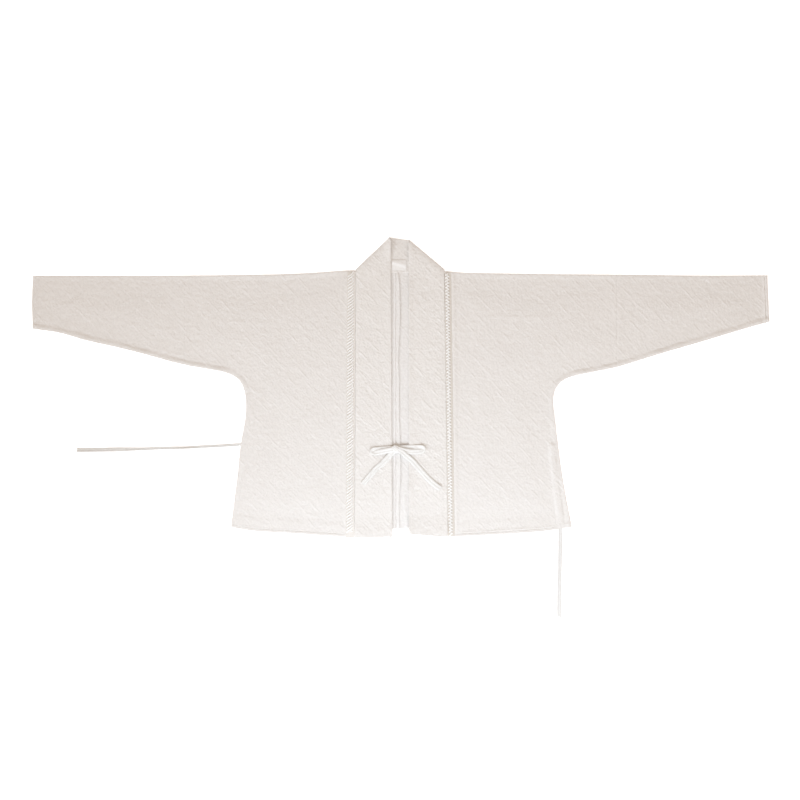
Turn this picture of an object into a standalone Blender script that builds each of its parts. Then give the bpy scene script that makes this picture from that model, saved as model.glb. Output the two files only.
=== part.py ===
"""A white hanfu jacket with long sleeves, laid flat on its back, its front ties in a bow.

Lengths are in metres. The sleeves lie along X, the collar points to +Y and the cloth rests on
z = 0. Left and right are as seen from above. The jacket is drawn with y = 0 on its shoulder
line, and an empty then puts the middle of the whole outline on the origin.
"""

import math
from collections import namedtuple

import bmesh
import bpy
from mathutils import Vector
from mathutils.geometry import delaunay_2d_cdt

GARMENT = "hanfu_top"

# Cloth
WALL = 0.0012  # jacquard cotton of the body and sleeves
COLLAR_WALL = 0.0020  # the collar strip is doubled over an interlining
RIBBON_WALL = 0.0010  # the ties are flattened tubes of thin cotton
GAP = 0.0003  # left between layers and at seams
BACK_MID = WALL / 2
FRONT_MID = BACK_MID + WALL + GAP
FRONT_TOP = FRONT_MID + WALL / 2
SWELL = 0.0012  # how far the front lies above the back in the middle of a panel
SWELL_EDGE = 0.025  # no swell this close to an edge
SWELL_RUN = 0.060  # the swell grows over this distance
SPOT_STEP = 0.045  # spacing of the points inside a panel
SPOT_CLEAR = 0.018  # which stay this far from its edges and creases
EDGE_STEP = 0.026  # spacing of the points along its edges
JOINT_CLEAR = 0.009  # which stay this far from the sleeve seam

# Places of the seams, as a reach from the centre line or a drop from the shoulder line
SEAM_REACH = 0.469  # where the sleeve is joined on
BACK_SEAM_X = -0.0098  # the centre-back seam lies a little left of the middle
ALLOWANCE = 0.0076  # its seam allowance, pressed to the right
ALLOWANCE_RAMP = 0.0034  # where the left half climbs over the edge of the right half
NECK_DIP = 0.0040  # the back neckline at its middle
NECK_RISE = 0.0028  # and how much higher it ends
NECK_SHARES = (0.4, 0.7, 0.97)  # its points, as shares of the way out from the middle
BACK_HEM_DROP = 0.551
TRIM_CLEAR = 0.0006  # between the collar seam and the trim

# Outlines of the two sides: a reach outwards and a height above the shoulder line. The cuff's
# bulge is how far its middle stands out past its corners.
Edge = namedtuple("Edge", "reach height")
Strip = namedtuple("Strip", "seam_reach free_reach seam_height free_height")
Side = namedtuple(
    "Side", "sign shoulder underarm hem collar_hem collar_fold trim_width cuff_bulge"
)

LEFT = Side(
    sign=-1,
    shoulder=[
        Edge(0.0980, 0.0090),
        Edge(0.1060, 0.0103),
        Edge(0.1320, 0.0087),
        Edge(0.2000, 0.0040),
        Edge(0.2850, 0.0008),
        Edge(0.4600, -0.0016),
        Edge(0.6300, -0.0022),
        Edge(0.7985, -0.0022),
    ],
    underarm=[
        Edge(0.7990, -0.1170),
        Edge(0.7400, -0.1260),
        Edge(0.6880, -0.1410),
        Edge(0.5840, -0.1650),
        Edge(0.4800, -0.1930),
        Edge(0.4150, -0.2050),
        Edge(0.3780, -0.2130),
        Edge(0.3530, -0.2270),
        Edge(0.3405, -0.2500),
        Edge(0.3365, -0.2800),
        Edge(0.3380, -0.3120),
        Edge(0.3480, -0.3700),
        Edge(0.3560, -0.4450),
        Edge(0.3690, -0.5470),
    ],
    hem=[
        Edge(0.3690, -0.5470),
        Edge(0.3170, -0.5560),
        Edge(0.2190, -0.5620),
        Edge(0.1012, -0.5700),
    ],
    collar_hem=Strip(0.1007, 0.0185, -0.5710, -0.5690),
    collar_fold=Strip(0.0977, 0.0221, 0.0095, 0.0792),
    trim_width=0.0184,
    cuff_bulge=0.0020,
)
RIGHT = Side(
    sign=1,
    shoulder=[
        Edge(0.0941, 0.0090),
        Edge(0.1020, 0.0080),
        Edge(0.1350, 0.0048),
        Edge(0.3120, 0.0018),
        Edge(0.5000, 0.0002),
        Edge(0.6600, -0.0016),
        Edge(0.7950, -0.0010),
    ],
    underarm=[
        Edge(0.7990, -0.1020),
        Edge(0.7450, -0.1170),
        Edge(0.6660, -0.1410),
        Edge(0.5620, -0.1715),
        Edge(0.4690, -0.2000),
        Edge(0.4150, -0.2110),
        Edge(0.3780, -0.2190),
        Edge(0.3520, -0.2290),
        Edge(0.3350, -0.2490),
        Edge(0.3305, -0.2760),
        Edge(0.3340, -0.3080),
        Edge(0.3410, -0.3680),
        Edge(0.3530, -0.4540),
        Edge(0.3710, -0.5470),
    ],
    hem=[
        Edge(0.3710, -0.5470),
        Edge(0.3130, -0.5560),
        Edge(0.2190, -0.5630),
        Edge(0.1021, -0.5690),
    ],
    collar_hem=Strip(0.1018, 0.0174, -0.5690, -0.5625),
    collar_fold=Strip(0.0938, 0.0163, 0.0095, 0.0727),
    trim_width=0.0140,
    cuff_bulge=0.0,
)

# The collar strip, from hem to hem around the neck
COLLAR_LOW_MID = FRONT_TOP - WALL + COLLAR_WALL / 2  # beside the fronts, on the back panel
COLLAR_NECK_MID = COLLAR_WALL / 2  # the back of the neck lies on the floor
COLLAR_FOLD_MID = COLLAR_NECK_MID + COLLAR_WALL + GAP  # and the fronts fold over it
COLLAR_RISE = (-0.120, -0.060)  # between these places along Y the fronts climb to the fold
COLLAR_ROWS = 26
NECK_ROWS = 6

# The braided trim beside each collar seam
TRIM_WALL = 0.0010
TRIM_RELIEF = 0.0007
TRIM_PITCH = 0.0070
TRIM_SLOPE = 0.0036  # how far a strand climbs from the trim's edge to its middle
TRIM_ACROSS = (-1, 0, 1)
TRIM_END = 0.0020  # its ends stay this far inside the shoulder and the hem

# The blank label inside the back of the neck
LABEL_X = (-0.0195, 0.0119)
LABEL_Y = (0.0098, 0.0326)
LABEL_WALL = 0.0010

# Ties. A station is a point on the ribbon's middle line, and the roll of its width in degrees.
RIBBON_WIDTH = 0.0115
TIE_WIDTH = 0.0100
RIBBON_STEP = 0.0060
TIE_STEP = 0.0120
Station = namedtuple("Station", "x y z roll")

SIDE_TIE = [
    Station(-0.3492, -0.3690, 0.0014, 0),
    Station(-0.3600, -0.3700, 0.0018, 15),
    Station(-0.3850, -0.3712, 0.0041, 45),
    Station(-0.4300, -0.3730, 0.0041, 46),
    Station(-0.4650, -0.3738, 0.0047, 60),
    Station(-0.4850, -0.3742, 0.0050, 90),
    Station(-0.5050, -0.3748, 0.0047, 122),
    Station(-0.5400, -0.3762, 0.0036, 142),
    Station(-0.5900, -0.3777, 0.0029, 152),
    Station(-0.6350, -0.3790, 0.0015, 168),
    Station(-0.6700, -0.3796, 0.0005, 180),
    Station(-0.7030, -0.3805, 0.0005, 180),
]
INNER_TIE = [
    Station(0.3285, -0.3720, 0.0020, 0),
    Station(0.3310, -0.4020, 0.0020, 0),
    Station(0.3345, -0.4320, 0.0020, 0),
    Station(0.3385, -0.4650, 0.0020, 0),
    Station(0.3425, -0.5000, 0.0020, 0),
    Station(0.3450, -0.5300, 0.0020, 0),
    Station(0.3452, -0.5560, 0.0020, 0),
    Station(0.3450, -0.5720, 0.0026, 22),
    Station(0.3446, -0.5950, 0.0044, 52),
    Station(0.3450, -0.6350, 0.0044, 54),
    Station(0.3440, -0.6800, 0.0042, 50),
    Station(0.3428, -0.7200, 0.0030, 32),
    Station(0.3426, -0.7470, 0.0026, 25),
]
INNER_TIE_HIDDEN = 6  # its first stations lie between the back and the front
INNER_TIE_NOTCH = 0.006  # the free end is cut to two points
RIDGE_FLAT = 0.0065  # the front lies over the inner tie in a ridge this wide each way
RIDGE_FOOT = 0.0100
RIDGE_HEIGHT = RIBBON_WALL + GAP
RIDGE_START = 0.004  # how far past the tie's sewn end the ridge goes on

# The bow. Its ties leave the collar's free edges, meet in the knot and lie on the fronts.
KNOT_AT = (-0.0115, -0.3762, 0.0075)
KNOT_CAGE = (0.0211, 0.0205, 0.0077)  # smoothing shrinks it by about a fifth
KNOT_TURN = math.radians(-38)
BOW_ROOT_LEFT = [Station(-0.0190, -0.3738, 0.0026, 0), Station(-0.0130, -0.3740, 0.0031, 0)]
BOW_ROOT_RIGHT = [
    Station(0.0166, -0.3735, 0.0026, 0),
    Station(0.0100, -0.3738, 0.0029, 0),
    Station(0.0020, -0.3745, 0.0035, 0),
    Station(-0.0060, -0.3750, 0.0036, 0),
]
BOW_TAIL_LEFT = [
    Station(-0.0185, -0.3890, 0.0058, 0),
    Station(-0.0270, -0.3990, 0.0045, 0),
    Station(-0.0400, -0.4125, 0.0043, 0),
    Station(-0.0520, -0.4225, 0.0043, 0),
    Station(-0.0640, -0.4365, 0.0043, 0),
    Station(-0.0797, -0.4553, 0.0043, 0),
]
BOW_TAIL_RIGHT = [
    Station(0.0030, -0.3850, 0.0108, 0),
    Station(0.0100, -0.3912, 0.0107, 0),
    Station(0.0175, -0.3972, 0.0077, 0),
    Station(0.0250, -0.4035, 0.0045, 0),
    Station(0.0410, -0.4215, 0.0043, 0),
    Station(0.0580, -0.4405, 0.0043, 0),
    Station(0.0836, -0.4615, 0.0043, 0),
]
# A loop leaves the knot above and comes back to it below. Its width lies along Y.
BOW_LOOP_LEFT = [
    Station(-0.0240, -0.3790, 0.0086, 0),
    Station(-0.0370, -0.3812, 0.0100, 0),
    Station(-0.0520, -0.3818, 0.0102, 0),
    Station(-0.0645, -0.3812, 0.0094, 0),
    Station(-0.0680, -0.3803, 0.0077, 0),
    Station(-0.0640, -0.3794, 0.0060, 0),
    Station(-0.0500, -0.3782, 0.0055, 0),
    Station(-0.0360, -0.3772, 0.0056, 0),
    Station(-0.0240, -0.3762, 0.0062, 0),
]
BOW_LOOP_RIGHT = [
    Station(0.0008, -0.3790, 0.0082, 0),
    Station(0.0120, -0.3806, 0.0084, 0),
    Station(0.0280, -0.3830, 0.0106, 0),
    Station(0.0430, -0.3826, 0.0118, 0),
    Station(0.0518, -0.3790, 0.0100, 0),
    Station(0.0490, -0.3742, 0.0074, 0),
    Station(0.0360, -0.3715, 0.0057, 0),
    Station(0.0200, -0.3712, 0.0055, 0),
    Station(0.0090, -0.3725, 0.0058, 0),
    Station(0.0014, -0.3735, 0.0062, 0),
]
LOOP_ACROSS = Vector((0, -1, 0.1))

Look = namedtuple("Look", "colour roughness")
JACQUARD = Look((0.86, 0.83, 0.79, 1), 0.85)
COLLAR_CLOTH = Look((0.88, 0.85, 0.81, 1), 0.82)
BRAID = Look((0.90, 0.88, 0.85, 1), 0.75)
TAPE = Look((0.90, 0.89, 0.88, 1), 0.70)
SATIN = Look((0.92, 0.90, 0.88, 1), 0.45)


def clear_scene():
    for thing in list(bpy.data.objects):
        bpy.data.objects.remove(thing)


def lerp(start, stop, share):
    return start + (stop - start) * share


def smoothstep(value):
    value = min(max(value, 0.0), 1.0)
    return value * value * (3 - 2 * value)


def smooth(rows, step):
    """Points about a step apart on a Catmull-Rom curve through the rows."""
    points = [Vector(row) for row in rows]
    guides = [2 * points[0] - points[1], *points, 2 * points[-1] - points[-2]]
    found = [points[0]]
    for before, start, stop, after in zip(guides, guides[1:], guides[2:], guides[3:]):
        count = max(1, round((stop - start).to_3d().length / step))
        for number in range(1, count + 1):
            t = number / count
            found.append(
                start
                + (stop - before) * t / 2
                + (2 * before - 5 * start + 4 * stop - after) * t**2 / 2
                + (3 * start - before - 3 * stop + after) * t**3 / 2
            )
    return found


def distance_to(point, line):
    """How far a point lies from a line of points."""
    nearest = math.inf
    for start, stop in zip(line, line[1:]):
        along = stop - start
        share = min(max((point - start).dot(along) / along.length_squared, 0), 1)
        nearest = min(nearest, (point - start - along * share).length)
    return nearest


def is_inside(point, outline):
    inside = False
    for start, stop in zip(outline, [*outline[1:], outline[0]]):
        if (start.y > point.y) != (stop.y > point.y):
            share = (point.y - start.y) / (stop.y - start.y)
            inside ^= point.x < lerp(start.x, stop.x, share)
    return inside


def inset(run, amount, first_way, last_way):
    """A run of edge points moved into the cloth. The cloth lies to the right of the run, and
    the two end points move along the edges that meet them."""
    moved = []
    for number, point in enumerate(run):
        along = run[min(number + 1, len(run) - 1)] - run[max(number - 1, 0)]
        moved.append(point + Vector((along.y, -along.x)).normalized() * amount)
    moved[0] = run[0] + Vector(first_way) * amount
    moved[-1] = run[-1] + Vector(last_way) * amount
    return moved


def to_collection(thing):
    for holder in list(thing.users_collection):
        holder.objects.unlink(thing)
    bpy.data.collections[GARMENT].objects.link(thing)
    thing.parent = bpy.data.objects["garment_frame"]


def paint(thing, look):
    material = bpy.data.materials.new(thing.name)
    material.use_nodes = True
    shader = material.node_tree.nodes["Principled BSDF"]
    shader.inputs["Base Color"].default_value = look.colour
    shader.inputs["Roughness"].default_value = look.roughness
    shader.inputs["Metallic"].default_value = 0
    thing.data.materials.append(material)


def surface(name, points, faces, look, wall, offset=0):
    """An open surface of cloth, given its wall by Solidify."""
    mesh = bpy.data.meshes.new(name)
    mesh.from_pydata([tuple(point) for point in points], [], faces)
    build = bmesh.new()
    build.from_mesh(mesh)
    bmesh.ops.recalc_face_normals(build, faces=build.faces)
    build.to_mesh(mesh)
    build.free()
    thing = bpy.data.objects.new(name, mesh)
    bpy.context.scene.collection.objects.link(thing)
    solidify = thing.modifiers.new("wall", "SOLIDIFY")
    solidify.thickness = wall
    solidify.offset = offset
    solidify.use_even_offset = True
    solidify.use_quality_normals = True
    to_collection(thing)
    paint(thing, look)
    return thing


def quads(rows, columns, first=0):
    """The faces of a grid whose points are listed row by row."""
    faces = []
    for row in range(rows - 1):
        for column in range(columns - 1):
            corner = first + row * columns + column
            faces.append((corner, corner + 1, corner + columns + 1, corner + columns))
    return faces


def layer(outline, lines, spots, height):
    """A flat outline cut into triangles along the lines and through the spots. Gives its lifted
    points, its faces, and where each outline point is among them."""
    flat = [*outline]
    creases = []
    for line in lines:
        creases += [(number, number + 1) for number in range(len(flat), len(flat) + len(line) - 1)]
        flat += line
    flat += spots
    border = list(reversed(range(len(outline))))
    found, _, faces, sources, _, _ = delaunay_2d_cdt(flat, creases, [border], 1, 1e-6)
    place = {}
    for number, origins in enumerate(sources):
        place.update({origin: number for origin in origins})
    points = [Vector((point.x, point.y, height(point))) for point in found]
    return points, [tuple(face) for face in faces], [place[number] for number in range(len(outline))]


def spots_in(outline, lines):
    """Points on an even grid inside an outline, clear of it and of the lines."""
    borders = [[*outline, outline[0]], *lines]
    columns = int(max(point.x for point in outline) / SPOT_STEP) + 1
    rows = int(-min(point.y for point in outline) / SPOT_STEP) + 1
    spots = []
    for column in range(columns):
        for row in range(rows):
            spot = Vector((column * SPOT_STEP, -row * SPOT_STEP))
            clear = min(distance_to(spot, border) for border in borders)
            if clear > SPOT_CLEAR and is_inside(spot, outline):
                spots.append(spot)
    return spots


def swell(point, outline):
    """The front's extra height where the cloth isn't held down by an edge."""
    edge = distance_to(point, [*outline, outline[0]])
    return SWELL * smoothstep((edge - SWELL_EDGE) / SWELL_RUN)


def pouch(name, sign, top_run, under_run, under_stop, outer, back_edge, front_edge, back, ridge=None):
    """Two layers of cloth in one piece, folded along the top run and closed along the under run.

    The cuff's points in outer and the two inner edges stay open. The under stop is the way along
    which the under run's last point moves inwards. The back is the back layer's height and the
    lines that it bends along. The ridge is the line that the front passes over, and its rails.
    """
    radius = (FRONT_MID - BACK_MID) / 2
    top, top_turn = (
        inset(top_run, amount, (0, -1), (0, -1)) for amount in (WALL / 2 + radius, WALL / 2)
    )
    under, under_turn = (
        inset(under_run, amount, (0, 1), under_stop) for amount in (WALL / 2 + radius, WALL / 2)
    )
    front_outline = [*top, *outer, *under, *front_edge]
    ridge_line, ridge_rails = ridge or ([], [])

    def front_height(point):
        lift = swell(point, front_outline)
        if ridge:
            share = (RIDGE_FOOT - distance_to(point, ridge_line)) / (RIDGE_FOOT - RIDGE_FLAT)
            lift = max(lift, RIDGE_HEIGHT * smoothstep(share))
        return FRONT_MID + lift

    back_height, back_lines = back
    back_outline = [*top, *outer, *under, *back_edge]
    points, faces, back_at = layer(back_outline, back_lines, [], back_height)
    spots = spots_in(front_outline, ridge_rails)
    more, more_faces, front_at = layer(front_outline, ridge_rails, spots, front_height)
    faces += [tuple(corner + len(points) for corner in face) for face in more_faces]
    front_at = [corner + len(points) for corner in front_at]
    points += more

    for turn, start in ((top_turn, 0), (under_turn, len(top) + len(outer))):
        first = len(points)
        for number, point in enumerate(turn):
            below, above = points[back_at[start + number]], points[front_at[start + number]]
            points.append(Vector((point.x, point.y, (below.z + above.z) / 2)))
        for number in range(len(turn) - 1):
            here, there = start + number, start + number + 1
            faces.append((back_at[here], back_at[there], first + number + 1, first + number))
            faces.append((first + number, first + number + 1, front_at[there], front_at[here]))
    for point in points:
        point.x *= sign
    return surface(name, points, faces, JACQUARD, WALL)


def ridge_over_tie(hem):
    """The hidden stretch of the inner tie down to the hem, and the rails beside it along which
    the front bends up and flattens. The points where the rails end are added to the hem."""
    line = [Vector((row.x, row.y)) for row in INNER_TIE[:INNER_TIE_HIDDEN]]
    line[0].y += RIDGE_START
    rails = []
    for away in (-RIDGE_FOOT, -RIDGE_FLAT, RIDGE_FLAT, RIDGE_FOOT):
        rail = []
        for number, point in enumerate(line):
            along = line[min(number + 1, len(line) - 1)] - line[max(number - 1, 0)]
            rail.append(point + Vector((along.y, -along.x)).normalized() * away)
        rail.append(cross_hem(hem, rail[-1].x))
        rails.append(rail)
    line.append((rails[0][-1] + rails[-1][-1]) / 2)
    return line, rails


def cross_hem(hem, reach):
    """The point of the hem at a reach, which becomes one of its points."""
    for number, (start, stop) in enumerate(zip(hem, hem[1:])):
        if start.x > reach > stop.x:
            found = start.lerp(stop, (reach - start.x) / (stop.x - start.x))
            hem.insert(number + 1, found)
            return found


def split_at_seam(run):
    """The two stretches of a run, inside and outside the sleeve seam."""
    for number, (start, stop) in enumerate(zip(run, run[1:])):
        if (start.x - SEAM_REACH) * (stop.x - SEAM_REACH) <= 0:
            share = (SEAM_REACH - start.x) / (stop.x - start.x)
            height = lerp(start.y, stop.y, share)
            break
    body_end = Vector((SEAM_REACH - GAP / 2, height))
    sleeve_end = Vector((SEAM_REACH + GAP / 2, height))
    inner = [point for point in run if point.x < SEAM_REACH - JOINT_CLEAR]
    outer = [point for point in run if point.x > SEAM_REACH + JOINT_CLEAR]
    return inner, body_end, outer, sleeve_end


def neckline(x):
    """The height of the collar's seam across the back of the neck."""
    middle = (RIGHT.shoulder[0].reach - LEFT.shoulder[0].reach) / 2
    half = (RIGHT.shoulder[0].reach + LEFT.shoulder[0].reach) / 2
    return NECK_DIP + NECK_RISE * ((x - middle) / half) ** 2


def flat_back(_):
    return BACK_MID


def lapped_back(point):
    """The left back climbs over the right back's edge, and ends in the seam allowance."""
    share = (ALLOWANCE_RAMP - BACK_SEAM_X - point.x) / ALLOWANCE_RAMP
    return BACK_MID + (WALL + GAP) * min(max(share, 0), 1)


def body(name, side):
    """Front and back of one side and the top of its sleeve, cut in one over the shoulder."""
    inner, end, _, _ = split_at_seam(smooth(side.shoulder, EDGE_STEP))
    shoulder = [*inner, end]
    inner, end, _, _ = split_at_seam(smooth(side.underarm, EDGE_STEP))
    underarm = [end, *inner]

    if side is LEFT:
        back_height = lapped_back
        bends = [ALLOWANCE_RAMP - BACK_SEAM_X, -BACK_SEAM_X]
        centre = -BACK_SEAM_X - ALLOWANCE
    else:
        back_height = flat_back
        bends = []
        centre = BACK_SEAM_X + GAP
    shares = [share * side.shoulder[0].reach for share in NECK_SHARES]
    hem = [Vector((reach, -BACK_HEM_DROP)) for reach in [*bends, centre]]
    neck = [
        Vector((reach, neckline(side.sign * reach) - GAP))
        for reach in [centre, *reversed(bends), *shares]
    ]
    lines = [[hem[number], neck[len(bends) - number]] for number in range(len(bends))]

    front_hem = smooth(side.hem, EDGE_STEP)
    ridge = ridge_over_tie(front_hem) if side is RIGHT else None
    front_hem = front_hem[1:]
    top = Vector((side.shoulder[0].reach, side.shoulder[0].height))
    rows = len(front_hem) * 2
    seam_edge = [front_hem[-1].lerp(top, number / rows) for number in range(1, rows)]
    return pouch(
        name,
        side.sign,
        top_run=shoulder,
        under_run=underarm,
        under_stop=(-1, 0),
        outer=[],
        back_edge=[*hem, *neck],
        front_edge=[*front_hem, *seam_edge],
        back=(back_height, lines),
        ridge=ridge,
    )


def sleeve(name, side):
    """The lower sleeve, a tube pressed flat from its seam to the cuff."""
    _, _, outer, start = split_at_seam(smooth(side.shoulder, EDGE_STEP))
    top = [start, *outer]
    _, _, outer, start = split_at_seam(smooth(side.underarm, EDGE_STEP))
    under = [*outer, start]
    cuff_middle = (top[-1] + under[0]) / 2 + Vector((side.cuff_bulge, 0))
    return pouch(
        name,
        side.sign,
        top_run=top,
        under_run=under,
        under_stop=(0, 1),
        outer=[cuff_middle],
        back_edge=[],
        front_edge=[],
        back=(flat_back, []),
    )


def collar_front(side):
    """Rows of one front of the collar, from its hem to just below its fold."""
    rows = []
    for number in range(COLLAR_ROWS):
        share = number / COLLAR_ROWS
        ends = zip(side.collar_hem, side.collar_fold)
        strip = Strip(*(lerp(low, high, share) for low, high in ends))
        seam = Vector((side.sign * strip.seam_reach, strip.seam_height))
        free = Vector((side.sign * strip.free_reach, strip.free_height))
        rows.append([(*point, collar_height(point)) for point in (seam, free)])
    return rows


def collar_height(point):
    start, stop = COLLAR_RISE
    share = smoothstep((point.y - start) / (stop - start))
    return lerp(COLLAR_LOW_MID, COLLAR_FOLD_MID, share)


def collar_fold(side):
    """Rows of the fold at one shoulder, from the front of the collar down to its back."""
    strip = side.collar_fold
    seam = Vector((side.sign * strip.seam_reach, strip.seam_height))
    free = Vector((side.sign * strip.free_reach, strip.free_height))
    along = (free - seam).normalized()
    inward = Vector((along.y, -along.x)) * -side.sign
    radius = (COLLAR_FOLD_MID - COLLAR_NECK_MID) / 2
    rows = []
    for share in (0, 0.5, 1):
        away = COLLAR_WALL / 2 + radius * (1 - math.sin(math.pi * share))
        height = lerp(COLLAR_FOLD_MID, COLLAR_NECK_MID, share)
        rows.append([(*(point + inward * away), height) for point in (seam, free)])
    return rows


def collar():
    """One doubled strip: up the left front, over at the shoulder, across the neck and down."""
    left_rows = [*collar_front(LEFT), *collar_fold(LEFT)]
    right_rows = [*collar_front(RIGHT), *collar_fold(RIGHT)]
    ends = list(zip(left_rows[-1], right_rows[-1]))
    neck = []
    for number in range(1, NECK_ROWS):
        share = number / NECK_ROWS
        seam, free = (lerp(Vector(left), Vector(right), share) for left, right in ends)
        neck.append([(seam.x, neckline(seam.x), seam.z), free])
    rows = [*left_rows, *neck, *reversed(right_rows)]
    points = [point for row in rows for point in row]
    return surface("collar", points, quads(len(rows), 2), COLLAR_CLOTH, COLLAR_WALL)


def trim(name, side):
    """A flat braid sewn down beside the collar seam, its strands raised in slanting ribs."""
    top = side.shoulder[0].height - TRIM_END
    bottom = side.collar_hem.seam_height + TRIM_END + TRIM_SLOPE
    count = 2 * round((top - bottom) / TRIM_PITCH) + 1
    half = side.trim_width / 2
    points = []
    for row in range(count):
        y = lerp(bottom, top, row / (count - 1))
        seam = lerp(side.collar_hem.seam_reach, side.collar_fold.seam_reach, row / (count - 1))
        for across in TRIM_ACROSS:
            x = seam + TRIM_CLEAR + half * (1 + across)
            points.append((side.sign * x, y - TRIM_SLOPE * abs(across), FRONT_TOP + GAP))
    thing = surface(name, points, quads(count, len(TRIM_ACROSS)), BRAID, TRIM_WALL, offset=1)
    raise_ribs(thing, count)
    return thing


def raise_ribs(thing, count):
    """Every second row of the trim's upper side stands up. Its underside stays plain."""
    depsgraph = bpy.context.evaluated_depsgraph_get()
    mesh = bpy.data.meshes.new_from_object(thing.evaluated_get(depsgraph))
    thing.modifiers.clear()
    upper = FRONT_TOP + GAP + TRIM_WALL / 2
    raised = [vertex for vertex in mesh.vertices if vertex.co.z > upper]
    for number, vertex in enumerate(raised):
        vertex.co.z += TRIM_RELIEF * (number // len(TRIM_ACROSS) % 2)
    thing.data = mesh


def label():
    """The blank label on the inside of the collar, at the back of the neck."""
    height = COLLAR_WALL + GAP + LABEL_WALL / 2
    points = [(x, y, height) for y in LABEL_Y for x in LABEL_X]
    return surface("neck_label", points, quads(2, 2), SATIN, LABEL_WALL)


def ribbon(name, stations, width, step, across=None, notch=0.0):
    """A flat ribbon along its stations. Its width lies level and square to its way, turned by the
    roll, or along the given direction. A notch cuts the far end to two points."""
    path = smooth([row._replace(roll=math.radians(row.roll)) for row in stations], step)
    columns = (-0.5, 0, 0.5) if notch else (-0.5, 0.5)
    points = []
    for number, row in enumerate(path):
        along = (path[min(number + 1, len(path) - 1)] - path[max(number - 1, 0)]).to_3d().normalized()
        level = along.cross(Vector((0, 0, 1))).normalized()
        wide = level * math.cos(row.w) + level.cross(along) * math.sin(row.w)
        if across:
            wide = (across - along * across.dot(along)).normalized()
        for share in columns:
            point = row.to_3d() + wide * width * share
            if number == len(path) - 1 and share == 0:
                point -= along * notch
            points.append(point)
    return surface(name, points, quads(len(path), len(columns)), TAPE, RIBBON_WALL)


def knot():
    """The knot, a soft lump with rounded sides."""
    bpy.ops.mesh.primitive_cube_add(size=1, location=KNOT_AT, rotation=(0, 0, KNOT_TURN))
    thing = bpy.context.object
    thing.name = "bow_knot"
    for vertex in thing.data.vertices:
        vertex.co *= Vector(KNOT_CAGE)
    soften = thing.modifiers.new("soft", "SUBSURF")
    soften.levels = soften.render_levels = 2
    to_collection(thing)
    paint(thing, TAPE)


def build():
    clear_scene()
    bpy.context.scene.collection.children.link(bpy.data.collections.new(GARMENT))
    frame = bpy.data.objects.new("garment_frame", None)
    bpy.context.scene.collection.objects.link(frame)
    highest = LEFT.collar_fold.free_height
    lowest = INNER_TIE[-1].y
    frame.location = (0, -(highest + lowest) / 2, 0)

    for word, side in (("left", LEFT), ("right", RIGHT)):
        body(f"body_{word}", side)
        sleeve(f"sleeve_{word}", side)
        trim(f"trim_{word}", side)
    collar()
    label()
    ribbon("side_tie", SIDE_TIE, TIE_WIDTH, TIE_STEP)
    ribbon("inner_tie", INNER_TIE, TIE_WIDTH, TIE_STEP, notch=INNER_TIE_NOTCH)
    knot()
    ribbon("bow_root_left", BOW_ROOT_LEFT, RIBBON_WIDTH, RIBBON_STEP)
    ribbon("bow_root_right", BOW_ROOT_RIGHT, RIBBON_WIDTH, RIBBON_STEP)
    ribbon("bow_tail_left", BOW_TAIL_LEFT, RIBBON_WIDTH, RIBBON_STEP)
    ribbon("bow_tail_right", BOW_TAIL_RIGHT, RIBBON_WIDTH, RIBBON_STEP)
    ribbon("bow_loop_left", BOW_LOOP_LEFT, RIBBON_WIDTH, RIBBON_STEP, LOOP_ACROSS)
    ribbon("bow_loop_right", BOW_LOOP_RIGHT, RIBBON_WIDTH, RIBBON_STEP, LOOP_ACROSS)


build()
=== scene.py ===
"""The looks of a white hanfu jacket laid flat: fine cloth, braids, ties, stitches and light.

Lengths are in metres, and in millimetres in the tables that in_metres reads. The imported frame
gives the outlines of the panels. Places written in the tables count Y from the jacket's shoulder
line, which lies at SHOULDER_Y in the frame.
"""

import math
import random
from collections import namedtuple

import bmesh
import bpy
import numpy as np
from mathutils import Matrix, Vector, noise
from mathutils.bvhtree import BVHTree
from mathutils.geometry import delaunay_2d_cdt


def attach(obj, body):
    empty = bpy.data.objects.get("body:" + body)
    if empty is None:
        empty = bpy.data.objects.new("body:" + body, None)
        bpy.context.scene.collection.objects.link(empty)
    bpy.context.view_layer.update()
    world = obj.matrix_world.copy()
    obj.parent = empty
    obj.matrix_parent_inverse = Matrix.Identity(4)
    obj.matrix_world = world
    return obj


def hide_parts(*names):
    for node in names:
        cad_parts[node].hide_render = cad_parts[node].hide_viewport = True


SHOULDER_Y = 0.3339


def sides(left, right):
    return {"left": left, "right": right}


def in_metres(kind, rows):
    """Table rows in millimetres as named rows in metres. A roll stays in degrees."""
    units = [1 if column == "roll" else 1000 for column in kind._fields]
    return [kind(*(round(value / unit, 7) for value, unit in zip(row, units))) for row in rows]


SIGN = sides(-1, 1)

# Picture and light
PICTURE_WIDTH = 1.737
PICTURE_CENTRE = (-0.0022, 0.0625)
FLOOR_GLOW = 0.7
FLOOR_REACH = 6
FLOOR_DROP = 0.0006
ROOM_COLOUR = (1.0, 0.838, 0.700)
ROOM_LIGHT = 0.546
LAMP_COLOUR = (0.75, 0.876, 1.0)
LAMP_HEIGHT = 0.95
LAMP_AIM = (0, -0.05, 0)
Lamp = namedtuple("Lamp", "name x y size power")
LAMPS = [
    Lamp("key_low", 0.00, -1.25, 1.2, 8.9),
    Lamp("key_right", 0.85, -1.20, 1.0, 5.6),
    Lamp("key_high", -0.20, -0.60, 0.8, 3.3),
]
FAR_LIGHT = 0.87  # a large far light, low at the left front
FAR_HEIGHT = math.radians(30)
FAR_TURN = math.radians(-62)
FAR_WIDTH = math.radians(16)

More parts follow.
